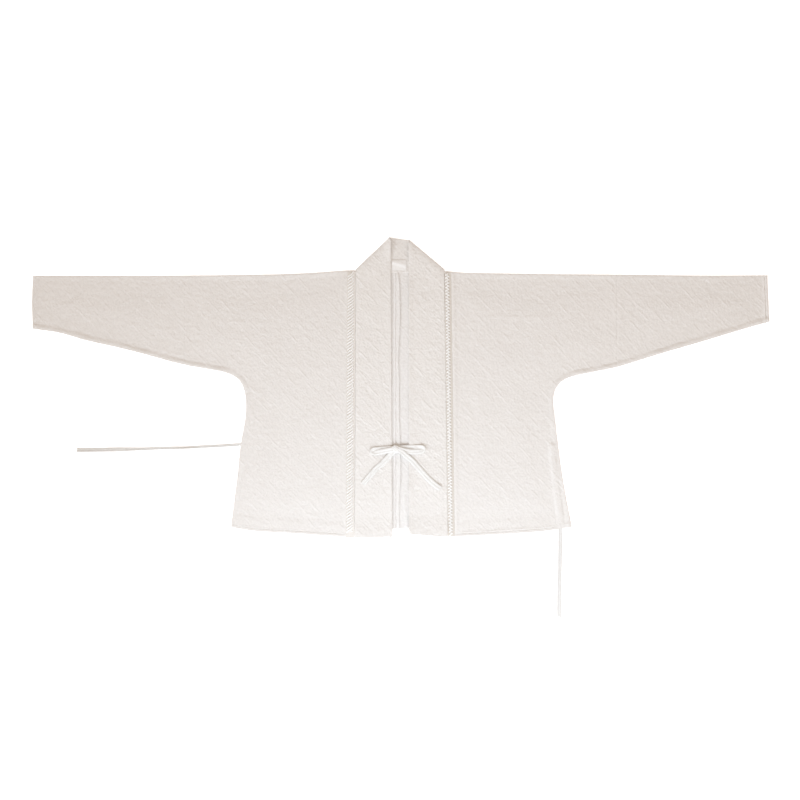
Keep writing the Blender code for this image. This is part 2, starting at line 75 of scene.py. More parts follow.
# Cloths with the woven figure: colour, place in the figure and relief
CLOTH_COLOUR = (0.865, 0.832, 0.80)
FIGURED_CLOTHS = {
    "jacquard_left": (CLOTH_COLOUR, (0.011, 0.043, 0), 1.04),
    "jacquard_right": (CLOTH_COLOUR, (0.047, 0.020, 0), 0.93),
    # the back's inside is a paler copy of the cloth: painted light that lifts the shade in the gap
    # between the fronts
    "jacquard_painted_lighter_inside": ((0.888, 0.862, 0.838), (0.025, 0.031, 0), 0.8),
    "collar_cloth": ((0.88, 0.848, 0.815), (0.031, 0.012, 0), 1.25),
}
# faces this near the middle get the paler copy, painted lighter
PAINTED_LIGHTER_REACH = 0.05
PLAIN_CLOTHS = {  # colour and roughness
    "braid": ((0.98, 0.967, 0.95), 0.7),
    # the braids' tapes are tape-coloured, darkened to tan and brown as painted shade beside the
    # braids, most on the right
    "braid_tape_left": ((0.85, 0.81, 0.765), 0.85),
    "braid_tape_right": ((0.76, 0.71, 0.65), 0.85),
    # darker sheets under the braids' strands: painted shade in the gaps between the strands
    "braid_ground_left": ((0.80, 0.755, 0.70), 0.85),
    "braid_ground_right": ((0.74, 0.70, 0.65), 0.85),
    "tape": ((0.88, 0.87, 0.85), 0.75),
    # the label's satin is whiter than the cloth, partly its own colour and partly a painted
    # highlight for its sheen
    "satin": ((0.97, 0.955, 0.94), 0.4),
    # the ties' tape is a darker copy of the ribbon tape: painted shade
    "tie_tape_painted_shade": ((0.83, 0.815, 0.79), 0.75),
    "bow_tape": ((0.90, 0.888, 0.865), 0.75),
}

# Cloth
WALL = 0.0012
COLLAR_WALL = 0.0020
GAP = 0.0003
BACK_MID = WALL / 2
FRONT_MID = BACK_MID + WALL + GAP
FRONT_TOP = FRONT_MID + WALL / 2
SWELL = 0.0012  # how far the front lies above the back in the middle of a panel
SWELL_EDGE = 0.025
SWELL_RUN = 0.060
# Soft relief of the fronts: height, size, seed and the run in from the edges
FRONT_RELIEF = [(0.00045, 0.070, 1, 0.05), (0.00020, 0.026, 2, 0.02)]
FINE = 0.0034  # point spacing of the fronts
COARSE = 0.0090  # and of the backs, which lie on the floor
EDGE_STEP = 0.0030  # point spacing along the edges
RIM_ANGLES = (45, 90, 135)
FOLD_ROWS = 5
FOLD_OUT = (WALL + GAP) / 2
RIM = 0.0005  # open edges leave this much room for their round rims
JOINT_RIM = 0.0002  # and sewn edges less, so that they meet
EDGE_ROOM = {"seam": JOINT_RIM, "joint": JOINT_RIM, "hem": RIM, "cuff": RIM}
EDGE_NAMES = {  # in order round the front of a panel
    "body": ("seam", "hem", "under", "joint", "shoulder"),
    "sleeve": ("joint", "under", "cuff", "shoulder"),
}

# Edges of the cloth: a height, and the distances from the edge over which it falls off
HEM_LIFT = sides(0.0006, 0.0012)
HEM_FALL = sides(0.0030, 0.0060)
TURN_LIFT = 0.0006  # the hem is turned up, which lifts it inside this far from its edge
TURN_WIDTH = 0.024
TURN_FALL = 0.010
HEM_WIDTH = 0.0066
STITCH_DEPTH = {"hem": 0.0062, "cuff": 0.0056}
# Rows of points beside the hem, dense at its stitches
HEM_ROWS = (0.0016, 0.0032, 0.0046, 0.0056, 0.0062, 0.0068, 0.0076, 0.0086, 0.0098)
GROOVE_DEPTH = {"hem": 0.00105, "cuff": 0.00120}
GROOVE_WIDTH = 0.00085
PUCKER_LIFT = 0.00035  # the hem puckers inside its stitches
PUCKER_AT = 0.012
PUCKER_WIDTH = 0.010
JOINT_LIFT = 0.00035  # and so does the sleeve's seam
JOINT_PUCKER = 0.00045
JOINT_AT = 0.0040
JOINT_WIDTH = 0.0040
ALLOWANCE_LIFT = 0.0020  # the seam allowances inside the underarm and side seams
ALLOWANCE_WIDTH = 0.0050
ALLOWANCE_FALL = 0.0052
SIDE_SHARE = 0.60  # the side seams are flatter than the underarm
SIDE_START = (0.20, 0.27)  # below the shoulder
ROLL_LIFT = 0.0010  # the unpressed fold along the shoulder
ROLL_WIDTH = 0.0085
ROLL_TROUGH = 0.0007
ROLL_TROUGH_AT = 0.026
ROLL_TROUGH_WIDTH = 0.011
STITCH_PITCH = 0.0030

# The centre-back seam, of which the inside shows between the fronts. The left back climbs over
# the right one, and its middle has these heights.
Profile = namedtuple("Profile", "x height")
SEAM_PROFILE = in_metres(Profile, [
    (-17.5, 0.6), (-14.5, 1.4), (-12.6, 2.1), (-11.8, 1.8), (-11, 0.6), (-10.4, 0.7), (-9.6, 2.2),
    (-8.6, 2.4), (-6, 2.7), (-3, 3.4),
])
EdgePlace = namedtuple("EdgePlace", "y x")
ALLOWANCE_EDGE = in_metres(EdgePlace, [  # its wavy free edge, from the neck down
    (0, -5.8), (-19, -4), (-45, -3.1), (-80, -2.6), (-106, -2.7), (-132, -4), (-158, -5),
    (-185, -6.2), (-211, -4.8), (-250, -4.4), (-315, -4.1), (-354, -3), (-393, -1.9), (-419, -1),
    (-445, -1.8), (-472, -3.6), (-510, -4.6), (-552, -3.8),
])
BACK_FOLD = [(0.0078, -0.4600), (0.0082, -0.4900), (0.0105, -0.5250), (0.0140, -0.5520)]
BACK_FOLD_LIFT = 0.0017
WELT_LIFT = sides(0.0, 0.0010)  # the cloth swells beside the right trim
WELT_AT = 0.0190
WELT_WIDTH = 0.0034
BAND_CLEAR = (0.019, 0.034)  # the front lies flat under the collar and the trim
RIDGE_FLAT = 0.0046  # the front lies over the inner tie in a ridge
RIDGE_FOOT = 0.0088
RIDGE_HEIGHT = 0.0018

Crease = namedtuple("Crease", "x1 y1 x2 y2 width height")
CREASES = in_metres(Crease, [
    # left sleeve, at the cuff
    (-742, -4, -768, -50, 8.5, -0.9), (-690, -20, -738, -58, 9.5, -0.8),
    (-695, -46, -731, -78, 4.5, 0.5), (-625, -12, -668, -70, 14, -0.5),
    # left sleeve and shoulder, marks of an old fold
    (-536, -118, -478, -118.5, 3, 0.3), (-402, -102, -262, -104, 3.5, 0.4),
    (-330, -60, -250, -50, 12, -0.5),
    # left armpit and side
    (-372, -204, -286, -256, 6.5, -0.8), (-352, -236, -292, -262, 5, 0.5),
    (-337, -328, -300, -366, 5, -0.6), (-340, -372, -306, -400, 5, 0.4),
    # right sleeve
    (655, -6.5, 692, -8.5, 6, 0.8), (560, -22, 712, -31, 9, -0.6), (566, -87, 614, -87, 3, 0.3),
    (735, -15, 760, -70, 12, -0.6), (500, -150, 455, -188, 8, -0.6),
    # collar
    (26, -30, 75, -26, 10, -0.7), (-84, -58, -30, -70, 11, -0.6), (-32, -140, -24, -200, 8, 0.6),
    (87, -415, 88, -545, 4, 0.9), (-75, -412, -45, -430, 8, -0.7), (40, -400, 70, -412, 8, -0.6),
    # right body
    (152, -92, 358, -92, 3.5, 0.4), (374, -206, 318, -236, 7, -0.7),
    (276, -324, 329, -374, 5, -0.7), (300, -318, 334, -352, 5, 0.4),
    (326, -380, 300, -440, 7, -0.4),
])

# The collar: a reach of its seam and of its free edge, and how far they lie above the shoulder
Strip = namedtuple("Strip", "seam_reach free_reach seam_height free_height")
COLLAR_HEM = sides(
    Strip(0.1007, 0.0185, -0.5710, -0.5690),
    Strip(0.1018, 0.0174, -0.5690, -0.5625),
)
COLLAR_FOLD = sides(
    Strip(0.0977, 0.0221, 0.0095, 0.0792),
    Strip(0.0938, 0.0163, 0.0095, 0.0727),
)
COLLAR_LOW_MID = FRONT_TOP - WALL + COLLAR_WALL / 2
COLLAR_NECK_MID = COLLAR_WALL / 2
COLLAR_FOLD_MID = COLLAR_NECK_MID + COLLAR_WALL + GAP
COLLAR_RISE = (-0.120, -0.060)
COLLAR_FLAT = (-0.030, 0.015)  # its uneven lie fades out over this height
COLLAR_COLUMNS = 25
COLLAR_ROWS = 170
COLLAR_TURN_ROWS = 9
COLLAR_ROLL = 0.0018  # the collar climbs this far to the fold where it turns over at the neck
COLLAR_EDGE_ROLL = sides(0.0046, 0.0040)  # and its free edge still further
COLLAR_CLIMB = sides(0.056, 0.060)  # from this far below the fold
COLLAR_HEM_RISE = sides(0.0030, 0.0044)  # its end climbs again towards the hem
COLLAR_HEM_CLIMB = 0.052
FREE_EDGE_LIFT = sides(0.0009, 0.0010)
NECK_ROWS = 42
NECK_DIP = 0.0040
NECK_RISE = 0.0028

# The blank label
LABEL_X = (-0.0195, 0.0119)
LABEL_Y = (0.0098, 0.0326)
LABEL_MID = COLLAR_WALL + 0.0004
LABEL_HALF = 0.0002  # half its wall
LABEL_CREASE = 0.0011

# Trims
TRIM_WIDTH = sides(0.0184, 0.0140)
TRIM_CLEAR = 0.0006
TRIM_TOP_Y = sides(0.0065, 0.0062)
TRIM_FOOT = sides(0.0110, 0.0030)  # where the braid starts above the collar's hem
TRIM_PITCH = sides(0.0066, 0.0068)
TRIM_SLOPE = 0.95  # how steeply a strand climbs from the trim's edge
TRIM_BARE = sides((0.0003, 0.0034), (0.0008, 0.0036))  # of the tape, west and east
TRIM_CROSS = sides(0.75, 0.05)  # where strands cross, as a share of the half width
TRIM_MID = 0.0036
TRIM_TAPE_MID = 0.00298
TRIM_ROWS = 96
TRIM_COLUMNS = 7
CORDS = 2  # side by side in each strand
CORD_WIDE = 0.00092
CORD_HIGH = 0.00120

# Ties
RIBBON_WIDTH = 0.0115
TIE_WIDTH = 0.0100
RIBBON_WALL = 0.0010
RIBBON_CUP = 0.0003
RIBBON_COLUMNS = 9
Station = namedtuple("Station", "x y z roll")
SIDE_TIE = in_metres(Station, [
    (-345.8, -367.9, 1.4, 178), (-349.2, -368.1, 1.4, 176), (-364, -369.2, 1.2, 172),
    (-404, -371.5, 1.2, 171), (-436, -373.2, 1.2, 170), (-456, -374.2, 1.8, 158),
    (-467, -374.7, 2.2, 146), (-478, -375.1, 1.8, 156), (-495, -375.6, 1.2, 168),
    (-523, -376.2, 1.2, 172), (-567, -377.8, 1.3, 170), (-632, -379.2, 1.5, 168),
    (-686, -380, 1.8, 163), (-703, -380.2, 1.8, 164),
])
SIDE_TIE_WIDTHS = ((0, 0.0068), (0.215, 0.0068), (0.270, 0.0100), (0.36, 0.0100))
INNER_TIE = in_metres(Station, [
    (328.5, -372, 2, 0), (331, -402, 2, 0), (334.5, -432, 2, 0), (338.5, -465, 2, 0),
    (342.5, -500, 2, 0), (345, -530, 2, 0), (345.5, -556, 2, 0), (345.6, -572, 1.8, 4),
    (345.5, -590, 1.6, 9), (344.3, -640, 1.6, 10), (343.4, -680, 1.6, 11), (343, -720, 1.5, 9),
    (343.4, -747, 1.2, 5),
])
HIDDEN_STATIONS = 7
TIE_NOTCH = 0.006
BOW = {
    "bow_root_left": [
        (-19, -376.2, 2.6, 0), (-13, -376.6, 3.1, 0),
    ],
    "bow_root_right": [
        (16.6, -376, 2.6, 0), (10, -376.6, 2.9, 0), (2, -377.2, 3.5, 0), (-6, -377.5, 3.6, 0),
    ],
    "bow_tail_left": [
        (-14.5, -382, 7.6, 0), (-20.5, -387.4, 6.8, 0), (-29.4, -396.9, 5.6, 0),
        (-42.4, -410.4, 5.1, 0), (-54.4, -420.4, 5, 0), (-66.4, -434.4, 5, 0),
        (-82.1, -453.2, 5, 0),
    ],
    "bow_tail_right": [
        (-7, -379, 9.2, 0), (3, -385, 9.5, 0), (10, -391.2, 9, 0), (17.5, -397.5, 7.2, 0),
        (25, -404, 5.6, 0), (41, -422, 5.1, 0), (58, -440.8, 5.1, 0), (73, -454.3, 5.6, 0),
        (85, -462.9, 7.4, 0),
    ],
    "bow_loop_left": [
        (-15, -377.8, 8.8, 4), (-24, -380, 8.7, 6), (-35, -382, 7.3, 5), (-47, -384.3, 6.4, 2),
        (-56.5, -385.6, 6.1, -6), (-62, -383.4, 6.2, -18), (-60, -380, 5.8, -15),
        (-53, -378.7, 5.1, -6), (-43, -378, 5, -4), (-34, -377.5, 5.6, -4), (-24, -377, 6.6, -4),
        (-14, -376.7, 7.6, 0),
    ],
    "bow_loop_right": [
        (-8, -377.8, 8.8, -4), (2, -380, 8.8, -6), (12, -382.5, 7.8, -5), (24, -383.8, 6.7, -3),
        (36, -383.2, 6.2, 0), (44.5, -381.4, 6.1, 10), (48.6, -377.8, 6.4, 22),
        (45.5, -374.8, 5.9, 18), (36, -374.1, 5, 4), (24, -374.1, 4.8, 0), (11, -374.6, 5.4, 0),
        (0, -375.5, 6.3, 0), (-9, -376.2, 7.6, 0),
    ],
}
BOW = {name: in_metres(Station, rows) for name, rows in BOW.items()}
KNOT_AT = (-0.0115, -0.3768, 0.0080)
KNOT_BAND = 0.0060
KNOT_WIDE = 0.0076
KNOT_HIGH = 0.0027
CORE_WIDE = 0.0066
CORE_HIGH = 0.0024
CORE_REACH = 0.0080
KNOT_TURN = math.radians(-38)

# The jacquard's figure, in millimetres and degrees. Each tile is half a tile lower than the last.
TILE = (0.065, 0.098)
Stroke = namedtuple("Stroke", "x y length angle width bend")
STROKES = [Stroke(*row) for row in (
    (8, 86, 55, -43, 3.0, 1.2), (24, 74, 42, -41, 2.3, 0.8), (41, 93, 51, -48, 2.6, -1.1),
    (57, 66, 53, -43, 2.9, 1.0), (12, 52, 44, -46, 2.5, -0.8), (34, 47, 59, -41, 3.0, 1.3),
    (54, 30, 46, -50, 2.3, 0.8), (19, 19, 53, -43, 2.9, 1.1), (43, 9, 40, -46, 2.3, -0.8),
    (27, 96, 29, -42, 2.2, 0.5), (48, 52, 31, -45, 2.2, -0.5), (4, 33, 29, -44, 2.2, 0.6),
    (62, 91, 26, -66, 2.2, 0.5), (26, 33, 24, -64, 2.0, 0.5), (30, 61, 14, 44, 2.0, 0.2),
    (50, 80, 13, 42, 2.0, 0.2),
)]
WIDEST_STROKE = 3.0
FIGURE_HEIGHT = 0.00036
GRAIN_HEIGHT = 0.00042
RIPPLE_HEIGHT = 0.00110
RIPPLE_SIZE = 0.0090
GRAIN_SIZE = 0.0042
PATCH_SIZE = 0.050
SLUB_SIZE = 0.0022
WORN_SIZE = 0.016
WEAVE = 0.0008
SLUB_HEIGHT = 0.00008
THREAD_HEIGHT = 0.000012
STITCH_RADIUS = 0.00028


def lerp(start, stop, share):
    return start + (stop - start) * share


def ramp(value, start, stop):
    """0 up to start and 1 from stop on, with a smooth step between them."""
    share = np.clip((value - start) / (stop - start), 0, 1)
    return share * share * (3 - 2 * share)


def bell(value, width):
    return np.exp(-((value / width) ** 2))


def unit(vectors):
    return vectors / np.linalg.norm(vectors, axis=1)[:, None]


def passed(run):
    """How far along a run each of its points lies."""
    return np.concatenate([[0], np.cumsum(np.linalg.norm(np.diff(run, axis=0), axis=1))])


def smooth(points, step):
    """Points about a step apart on a Catmull-Rom curve through the points."""
    points = np.asarray(points, float)
    guides = np.vstack([2 * points[0] - points[1], points, 2 * points[-1] - points[-2]])
    found = [points[0]]
    for before, start, stop, after in zip(guides, guides[1:], guides[2:], guides[3:]):
        count = max(1, round(np.linalg.norm((stop - start)[:3]) / step))
        for number in range(1, count + 1):
            t = number / count
            found.append(
                start
                + (stop - before) * t / 2
                + (2 * before - 5 * start + 4 * stop - after) * t**2 / 2
                + (3 * start - before - 3 * stop + after) * t**3 / 2
            )
    return np.array(found)


def even(run, count):
    """A run of points as a smooth curve with count evenly spaced points."""
    curve = smooth(run, EDGE_STEP)
    along = passed(curve[:, :3])
    places = np.linspace(0, along[-1], count)
    return np.stack([np.interp(places, along, column) for column in curve.T], axis=1)


def points_on(run, step=EDGE_STEP):
    return max(3, round(passed(run)[-1] / step) + 1)


def sideways(run):
    """Unit vectors to the left of a run, level with the floor."""
    along = unit(np.gradient(run[:, :2], axis=0))
    return np.stack([-along[:, 1], along[:, 0]], axis=1)


def near(points, line):
    """How far each point lies from a line of points, and how far along the line that is."""
    points, line = points[:, :2], line[:, :2]
    best = np.full(len(points), np.inf)
    place = np.zeros(len(points))
    for start, stop, before in zip(line, line[1:], passed(line)):
        along = stop - start
        length = np.linalg.norm(along)
        share = np.clip((points - start) @ along / length**2, 0, 1)
        away = np.linalg.norm(points - start - share[:, None] * along, axis=1)
        closer = away < best
        best = np.where(closer, away, best)
        place = np.where(closer, before + share * length, place)
    return best, place


def is_inside(points, outline):
    inside = np.zeros(len(points), bool)
    for start, stop in zip(outline, np.roll(outline, -1, axis=0)):
        crosses = (start[1] > points[:, 1]) != (stop[1] > points[:, 1])
        if crosses.any():
            share = (points[:, 1] - start[1]) / (stop[1] - start[1])
            inside ^= crosses & (points[:, 0] < lerp(start[0], stop[0], share))
    return inside


def skin(node, facing):
    """The ring of points round the outermost skin of a CAD node that faces up (1) or down (-1)."""
    build = bmesh.new()
    build.from_mesh(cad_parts[node].data)
    bmesh.ops.remove_doubles(build, verts=build.verts, dist=1e-5)
    build.normal_update()
    left = {face for face in build.faces if face.normal.z * facing > 0.85}
    found = []
    while left:
        patch = set()
        front = [left.pop()]
        while front:
            face = front.pop()
            patch.add(face)
            beside = {other for edge in face.edges for other in edge.link_faces} & left
            left -= beside
            front += beside
        area = sum(face.calc_area() for face in patch)
        height = sum(face.calc_center_median().z * face.calc_area() for face in patch) / area
        found.append((facing * height, patch))
    _, patch = max(found, key=lambda pair: pair[0])
    follows = {
        loop.vert: loop.link_loop_next.vert
        for face in patch
        for loop in face.loops
        if sum(other in patch for other in loop.edge.link_faces) == 1
    }
    ring = [next(iter(follows))]
    while follows[ring[-1]] is not ring[0]:
        ring.append(follows[ring[-1]])
    points = np.array([vert.co[:] for vert in ring])
    build.free()
    return points


def runs_of(node, facing, sign):
    """A node's skin cut at its corners, mirrored so that X is the reach from the middle. The first
    run starts at the corner nearest to the top of the centre line, with the cloth to its left."""
    ring = skin(node, facing) * (sign, 1, 1)
    if np.cross(ring[:, :2], np.roll(ring, -1, axis=0)[:, :2]).sum() < 0:
        ring = ring[::-1]
    before = (ring - np.roll(ring, 1, axis=0))[:, :2]
    after = (np.roll(ring, -1, axis=0) - ring)[:, :2]
    turn = np.arctan2(np.cross(before, after), (before * after).sum(axis=1))
    corners = np.flatnonzero(np.abs(turn) > math.radians(40))
    top = (0, SHOULDER_Y + 0.01)
    first = min(corners, key=lambda corner: np.linalg.norm(ring[corner, :2] - top))
    ring = np.roll(ring, -first, axis=0)
    corners = [*sorted((corners - first) % len(ring)), len(ring)]
    ring = np.vstack([ring, ring[:1]])
    return [ring[start : stop + 1] for start, stop in zip(corners, corners[1:])]


def grid_in(outline, step):
    """Points of an even triangular grid inside an outline, half a step clear of it."""
    low, high = outline.min(axis=0), outline.max(axis=0)
    rows = np.arange(low[1], high[1], step * math.sqrt(0.75))
    columns = np.arange(low[0], high[0], step)
    grid = np.array(
        [(x + step / 2 * (number % 2), y) for number, y in enumerate(rows) for x in columns]
    )
    grid = grid[is_inside(grid, outline)]
    return grid[near(grid, np.vstack([outline, outline[:1]]))[0] > step * 0.6]


def sheet_of(outline, spots):
    """A flat outline cut into triangles through the spots. The first points are the outline's."""
    points = np.vstack([outline, spots])
    flat = [Vector(point) for point in points]
    _, _, faces, sources, _, _ = delaunay_2d_cdt(flat, [], [list(range(len(outline)))], 1, 1e-7)
    return points, [tuple(sources[corner][0] for corner in face) for face in faces]


def thicken(name, points, faces, half, material):
    """A closed wall round a surface of cloth, half as thick to each side, with round rims."""
    build = bmesh.new()
    verts = [build.verts.new(point) for point in points]
    for face in faces:
        build.faces.new([verts[corner] for corner in face])
    bmesh.ops.recalc_face_normals(build, faces=build.faces)
    if max(build.faces, key=lambda face: face.calc_center_median().z).normal.z < 0:
        bmesh.ops.reverse_faces(build, faces=build.faces)
    build.normal_update()
    build.verts.index_update()
    normals = np.array([vert.normal[:] for vert in build.verts])
    faces = [tuple(vert.index for vert in face.verts) for face in build.faces]
    borders = [edge.link_loops[0] for edge in build.edges if edge.is_boundary]
    rim = {loop.vert.index: loop.link_loop_next.vert.index for loop in borders}
    build.free()

    comes_from = {there: here for here, there in rim.items()}
    edge = sorted(rim)
    ahead = points[[rim[corner] for corner in edge]]
    along = ahead - points[[comes_from[corner] for corner in edge]]
    out = unit(np.cross(along, normals[edge]))
    layers = [points + normals * half]
    for angle in RIM_ANGLES:
        turn = math.radians(angle)
        lift = normals[edge] * math.cos(turn) + out * math.sin(turn)
        layers.append(points[edge] + lift * half)
    layers.append(points - normals * half)

    order = {corner: number for number, corner in enumerate(edge)}
    last = len(points) + len(RIM_ANGLES) * len(edge)
    walls = [*faces]
    for here, there in rim.items():
        column = [(here, there)]
        for start in range(len(points), last, len(edge)):
            column.append((start + order[here], start + order[there]))
        column.append((last + here, last + there))
        for (high_a, high_b), (low_a, low_b) in zip(column, column[1:]):
            walls.append((high_b, high_a, low_a, low_b))
    walls += [tuple(last + corner for corner in reversed(face)) for face in faces]
    return made(name, np.vstack(layers), walls, material)


def made(name, points, faces, material):
    mesh = bpy.data.meshes.new(name)
    mesh.from_pydata(np.asarray(points).tolist(), [], faces)
    mesh.polygons.foreach_set("use_smooth", [True] * len(mesh.polygons))
    mesh.materials.append(material)
    thing = added(name, mesh)
    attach(thing, "root")
    thing.modifiers.new("normals", "WEIGHTED_NORMAL").weight = 60
    return thing


def added(name, data):
    thing = bpy.data.objects.new(name, data)
    bpy.context.scene.collection.objects.link(thing)
    return thing


def wander(points, size, seed):
    """A soft uneven value between about -1 and 1 at each point, over the given size."""
    offset = Vector((seed * 3.7, seed * 1.3, seed))
    return np.array([noise.noise(Vector((x, y, 0)) / size + offset) for x, y in points[:, :2]])


def wander_along(place, size, seed):
    return wander(np.stack([place, place * 0], 1), size, seed)


def crease_lift(points):
    lift = np.zeros(len(points))
    for crease in CREASES:
        line = np.array([(crease.x1, crease.y1), (crease.x2, crease.y2)]) + (0, SHOULDER_Y)
        away, place = near(points, line)
        share = np.clip(place / np.linalg.norm(line[1] - line[0]), 0, 1)
        fade = np.sqrt(np.clip(np.sin(np.pi * share), 0, 1))
        lift += crease.height * bell(away, crease.width) * (0.15 + 0.85 * fade)
    return lift


def front_lift(points, word, edges):
    """How far the front lies above its lowest place. Edges holds the panel's fine edge runs."""
    sign = SIGN[word]
    world = points * (sign, 1)
    border, _ = near(points, np.vstack([*edges.values()]))
    lift = SWELL * ramp(border, SWELL_EDGE, SWELL_EDGE + SWELL_RUN)
    relief = crease_lift(world)
    for height, size, seed, run in FRONT_RELIEF:
        relief += height * wander(world, size, seed) * ramp(border, 0, run)
    clear = 1.0
    if "seam" in edges:
        beside, _ = near(points, edges["seam"])
        clear = ramp(beside, *BAND_CLEAR)
        lift += WELT_LIFT[word] * bell(beside - WELT_AT, WELT_WIDTH)
    lift += relief * clear

    away, place = near(points, edges["under"])
    pull = 1 + 0.55 * wander_along(place, 0.030, 5)
    pull *= lerp(1, SIDE_SHARE, ramp(SHOULDER_Y - points[:, 1], *SIDE_START))
    wide = ALLOWANCE_WIDTH * (1 + 0.35 * wander_along(place, 0.045, 9))
    lift += ALLOWANCE_LIFT * pull * (1 - ramp(away, wide, wide + ALLOWANCE_FALL))
    away, place = near(points, edges["shoulder"])
    pull = (1 + 0.6 * wander_along(place, 0.060, 6)) * clear
    pull = pull * lerp(1, 0.45, ramp(points[:, 0], 0.40, 0.56))
    lift += ROLL_LIFT * pull * bell(away, ROLL_WIDTH)
    lift -= ROLL_TROUGH * pull * bell(away - ROLL_TROUGH_AT, ROLL_TROUGH_WIDTH) * (lift > 0)
    away, place = near(points, edges["joint"])
    rise = JOINT_LIFT + JOINT_PUCKER * wander_along(place, 0.010, 7)
    lift += rise * bell(away - JOINT_AT, JOINT_WIDTH)
    for edge, stitch in STITCH_DEPTH.items():
        if edge in edges:
            away, place = near(points, edges[edge])
            fall = 1 - ramp(away, HEM_WIDTH, HEM_WIDTH + HEM_FALL[word])
            lift += HEM_LIFT[word] * fall * clear
            dimple = 0.65 + 0.35 * np.cos(2 * np.pi * place / STITCH_PITCH)
            lift -= GROOVE_DEPTH[edge] * dimple * bell(away - stitch, GROOVE_WIDTH)
            pucker = wander_along(place, 0.013, 8)
            lift += PUCKER_LIFT * pucker * bell(away - PUCKER_AT, PUCKER_WIDTH) * clear
            if edge == "hem":
                turned = 1 - ramp(away, TURN_WIDTH, TURN_WIDTH + TURN_FALL)
                lift += TURN_LIFT * turned * (1 + 0.4 * pucker) * clear
    lift = np.maximum(lift, 0)
    if word == "right" and "seam" in edges:
        lift = np.maximum(lift, tie_ridge(points))
    return lift


def tie_ridge(points):
    line = np.array([(row.x, row.y + SHOULDER_Y) for row in INNER_TIE[:HIDDEN_STATIONS]])
    away, _ = near(points, line)
    return RIDGE_HEIGHT * (1 - ramp(away, RIDGE_FLAT, RIDGE_FOOT))


def quad_strip(one, other):
    return [
        (one[number], other[number], other[number + 1], one[number + 1])
        for number in range(len(one) - 1)
    ]


def fine_edges(runs, counts=None):
    counts = counts or [points_on(run) for run in runs]
    return close_corners([even(run, count) for run, count in zip(runs, counts)])


def close_corners(edges):
    """Makes each run end where the next one starts."""
    for run, following in zip(edges, [*edges[1:], edges[0]]):
        middle = (run[-1] + following[0]) / 2
        run[-1] = middle
        following[0] = middle
    return edges


def corners_of(edges, number):
    """The points of one run, counted round the whole outline."""
    start = sum(len(run) - 1 for run in edges[:number])
    total = sum(len(run) - 1 for run in edges)
    return [(start + corner) % total for corner in range(len(edges[number]))]


def panel(kind, word, material):
    """Front and back of one piece of cloth, joined along its folds and given a wall. Its edges
    run counter-clockwise in reach. Gives the piece and its hem or cuff."""
    node = f"{kind}_{word}"
    sign = SIGN[word]
    names = EDGE_NAMES[kind]
    folds = names.index("under"), names.index("shoulder")
    edges = fine_edges(runs_of(node, 1, sign))
    back_runs = runs_of(node, -1, sign)
    counts = [points_on(run, COARSE) for run in back_runs]
    if kind == "body":
        top = back_runs.pop()
        end = edges[-1][-1][0] + 0.001
        neck = next(corner for corner, point in enumerate(top) if point[0] < end)
        back_runs += [top[: neck + 1], top[neck:]]
        counts[0] = points_on(back_runs[0])
        counts.append(points_on(back_runs[-1], COARSE))
    for fold in folds:
        counts[fold] = len(edges[fold])
    back_edges = fine_edges(back_runs, counts)
    for name, run in zip(names, edges):
        run[:, :2] += sideways(run) * EDGE_ROOM.get(name, 0)
    close_corners(edges)
    if node == "body_left":
        drops, places = np.array(ALLOWANCE_EDGE)[::-1].T
        back_edges[0][:, 0] = -np.interp(back_edges[0][:, 1] - SHOULDER_Y, drops, places)
        back_edges[1][0] = back_edges[0][-1]
        back_edges[-1][-1] = back_edges[0][0]

    front = np.vstack([run[:-1] for run in edges])[:, :2]
    hem = edges[names.index("hem" if kind == "body" else "cuff")]
    spots = grid_in(front, FINE)
    spots = spots[near(spots, hem)[0] > HEM_ROWS[-1] + FINE * 0.5]
    rows = np.vstack([hem[:, :2] + sideways(hem) * distance for distance in HEM_ROWS])
    clear = np.min([near(rows, run)[0] for run in edges if run is not hem], axis=0)
    rows = rows[is_inside(rows, front) & (clear > HEM_ROWS[0])]
    points, faces = sheet_of(front, np.vstack([spots, rows]))
    lift = front_lift(points, word, dict(zip(names, edges)))
    upper = np.column_stack([points, FRONT_MID + lift])

    back = np.vstack([run[:-1] for run in back_edges])[:, :2]
    spots = grid_in(back, COARSE)
    if kind == "body":
        extra = fine_spots(word, back_edges[0])
        extra = extra[is_inside(extra, back)]
        extra = extra[near(extra, np.vstack([back, back[:1]]))[0] > 0.0006]
        spots = np.vstack([spots[spots[:, 0] > extra[:, 0].max() + COARSE / 2], extra])
    points, back_faces = sheet_of(back, spots)
    lower = np.column_stack([points, back_height(node, points)])
    faces += [tuple(len(upper) + corner for corner in reversed(face)) for face in back_faces]
    everything = [upper, lower]
    count = len(upper) + len(lower)

    for fold in folds:
        previous, low = corners_of(edges, fold), corners_of(back_edges, fold)
        above, below = upper[previous], lower[low]
        middle = (above + below) / 2
        radius = (above[:, 2] - below[:, 2]) / 2
        for number in range(1, FOLD_ROWS + 1):
            angle = math.pi * number / (FOLD_ROWS + 1)
            row = lerp(above, below, (1 - math.cos(angle)) / 2)
            row[:, 2] = middle[:, 2] + radius * math.cos(angle)
            row[:, :2] -= sideways(edges[fold]) * (FOLD_OUT * math.sin(angle))
            everything.append(row)
            these = range(count, count + len(row))
            count += len(row)
            faces += quad_strip(previous, these)
            previous = these
        faces += quad_strip(previous, [len(upper) + corner for corner in low])
    points = np.vstack(everything) * (sign, 1, 1)
    piece = thicken(f"{node}_cloth", points, faces, WALL / 2 * 0.92, material)
    return piece, (hem * (sign, 1, 1))[::sign]


def fine_spots(word, centre):
    """More points for the back's inside where it shows between the fronts."""
    if word == "left":
        columns = [-place.x for place in SEAM_PROFILE]
        rows = np.arange(centre[:, 1].min() + 0.001, centre[:, 1].max() - 0.0005, 0.006)
    else:
        columns = np.arange(0.001, 0.0215, 0.0025)
        rows = np.arange(-0.560, -0.430, 0.0025) + SHOULDER_Y
    return np.array([(x, y) for x in columns for y in rows])


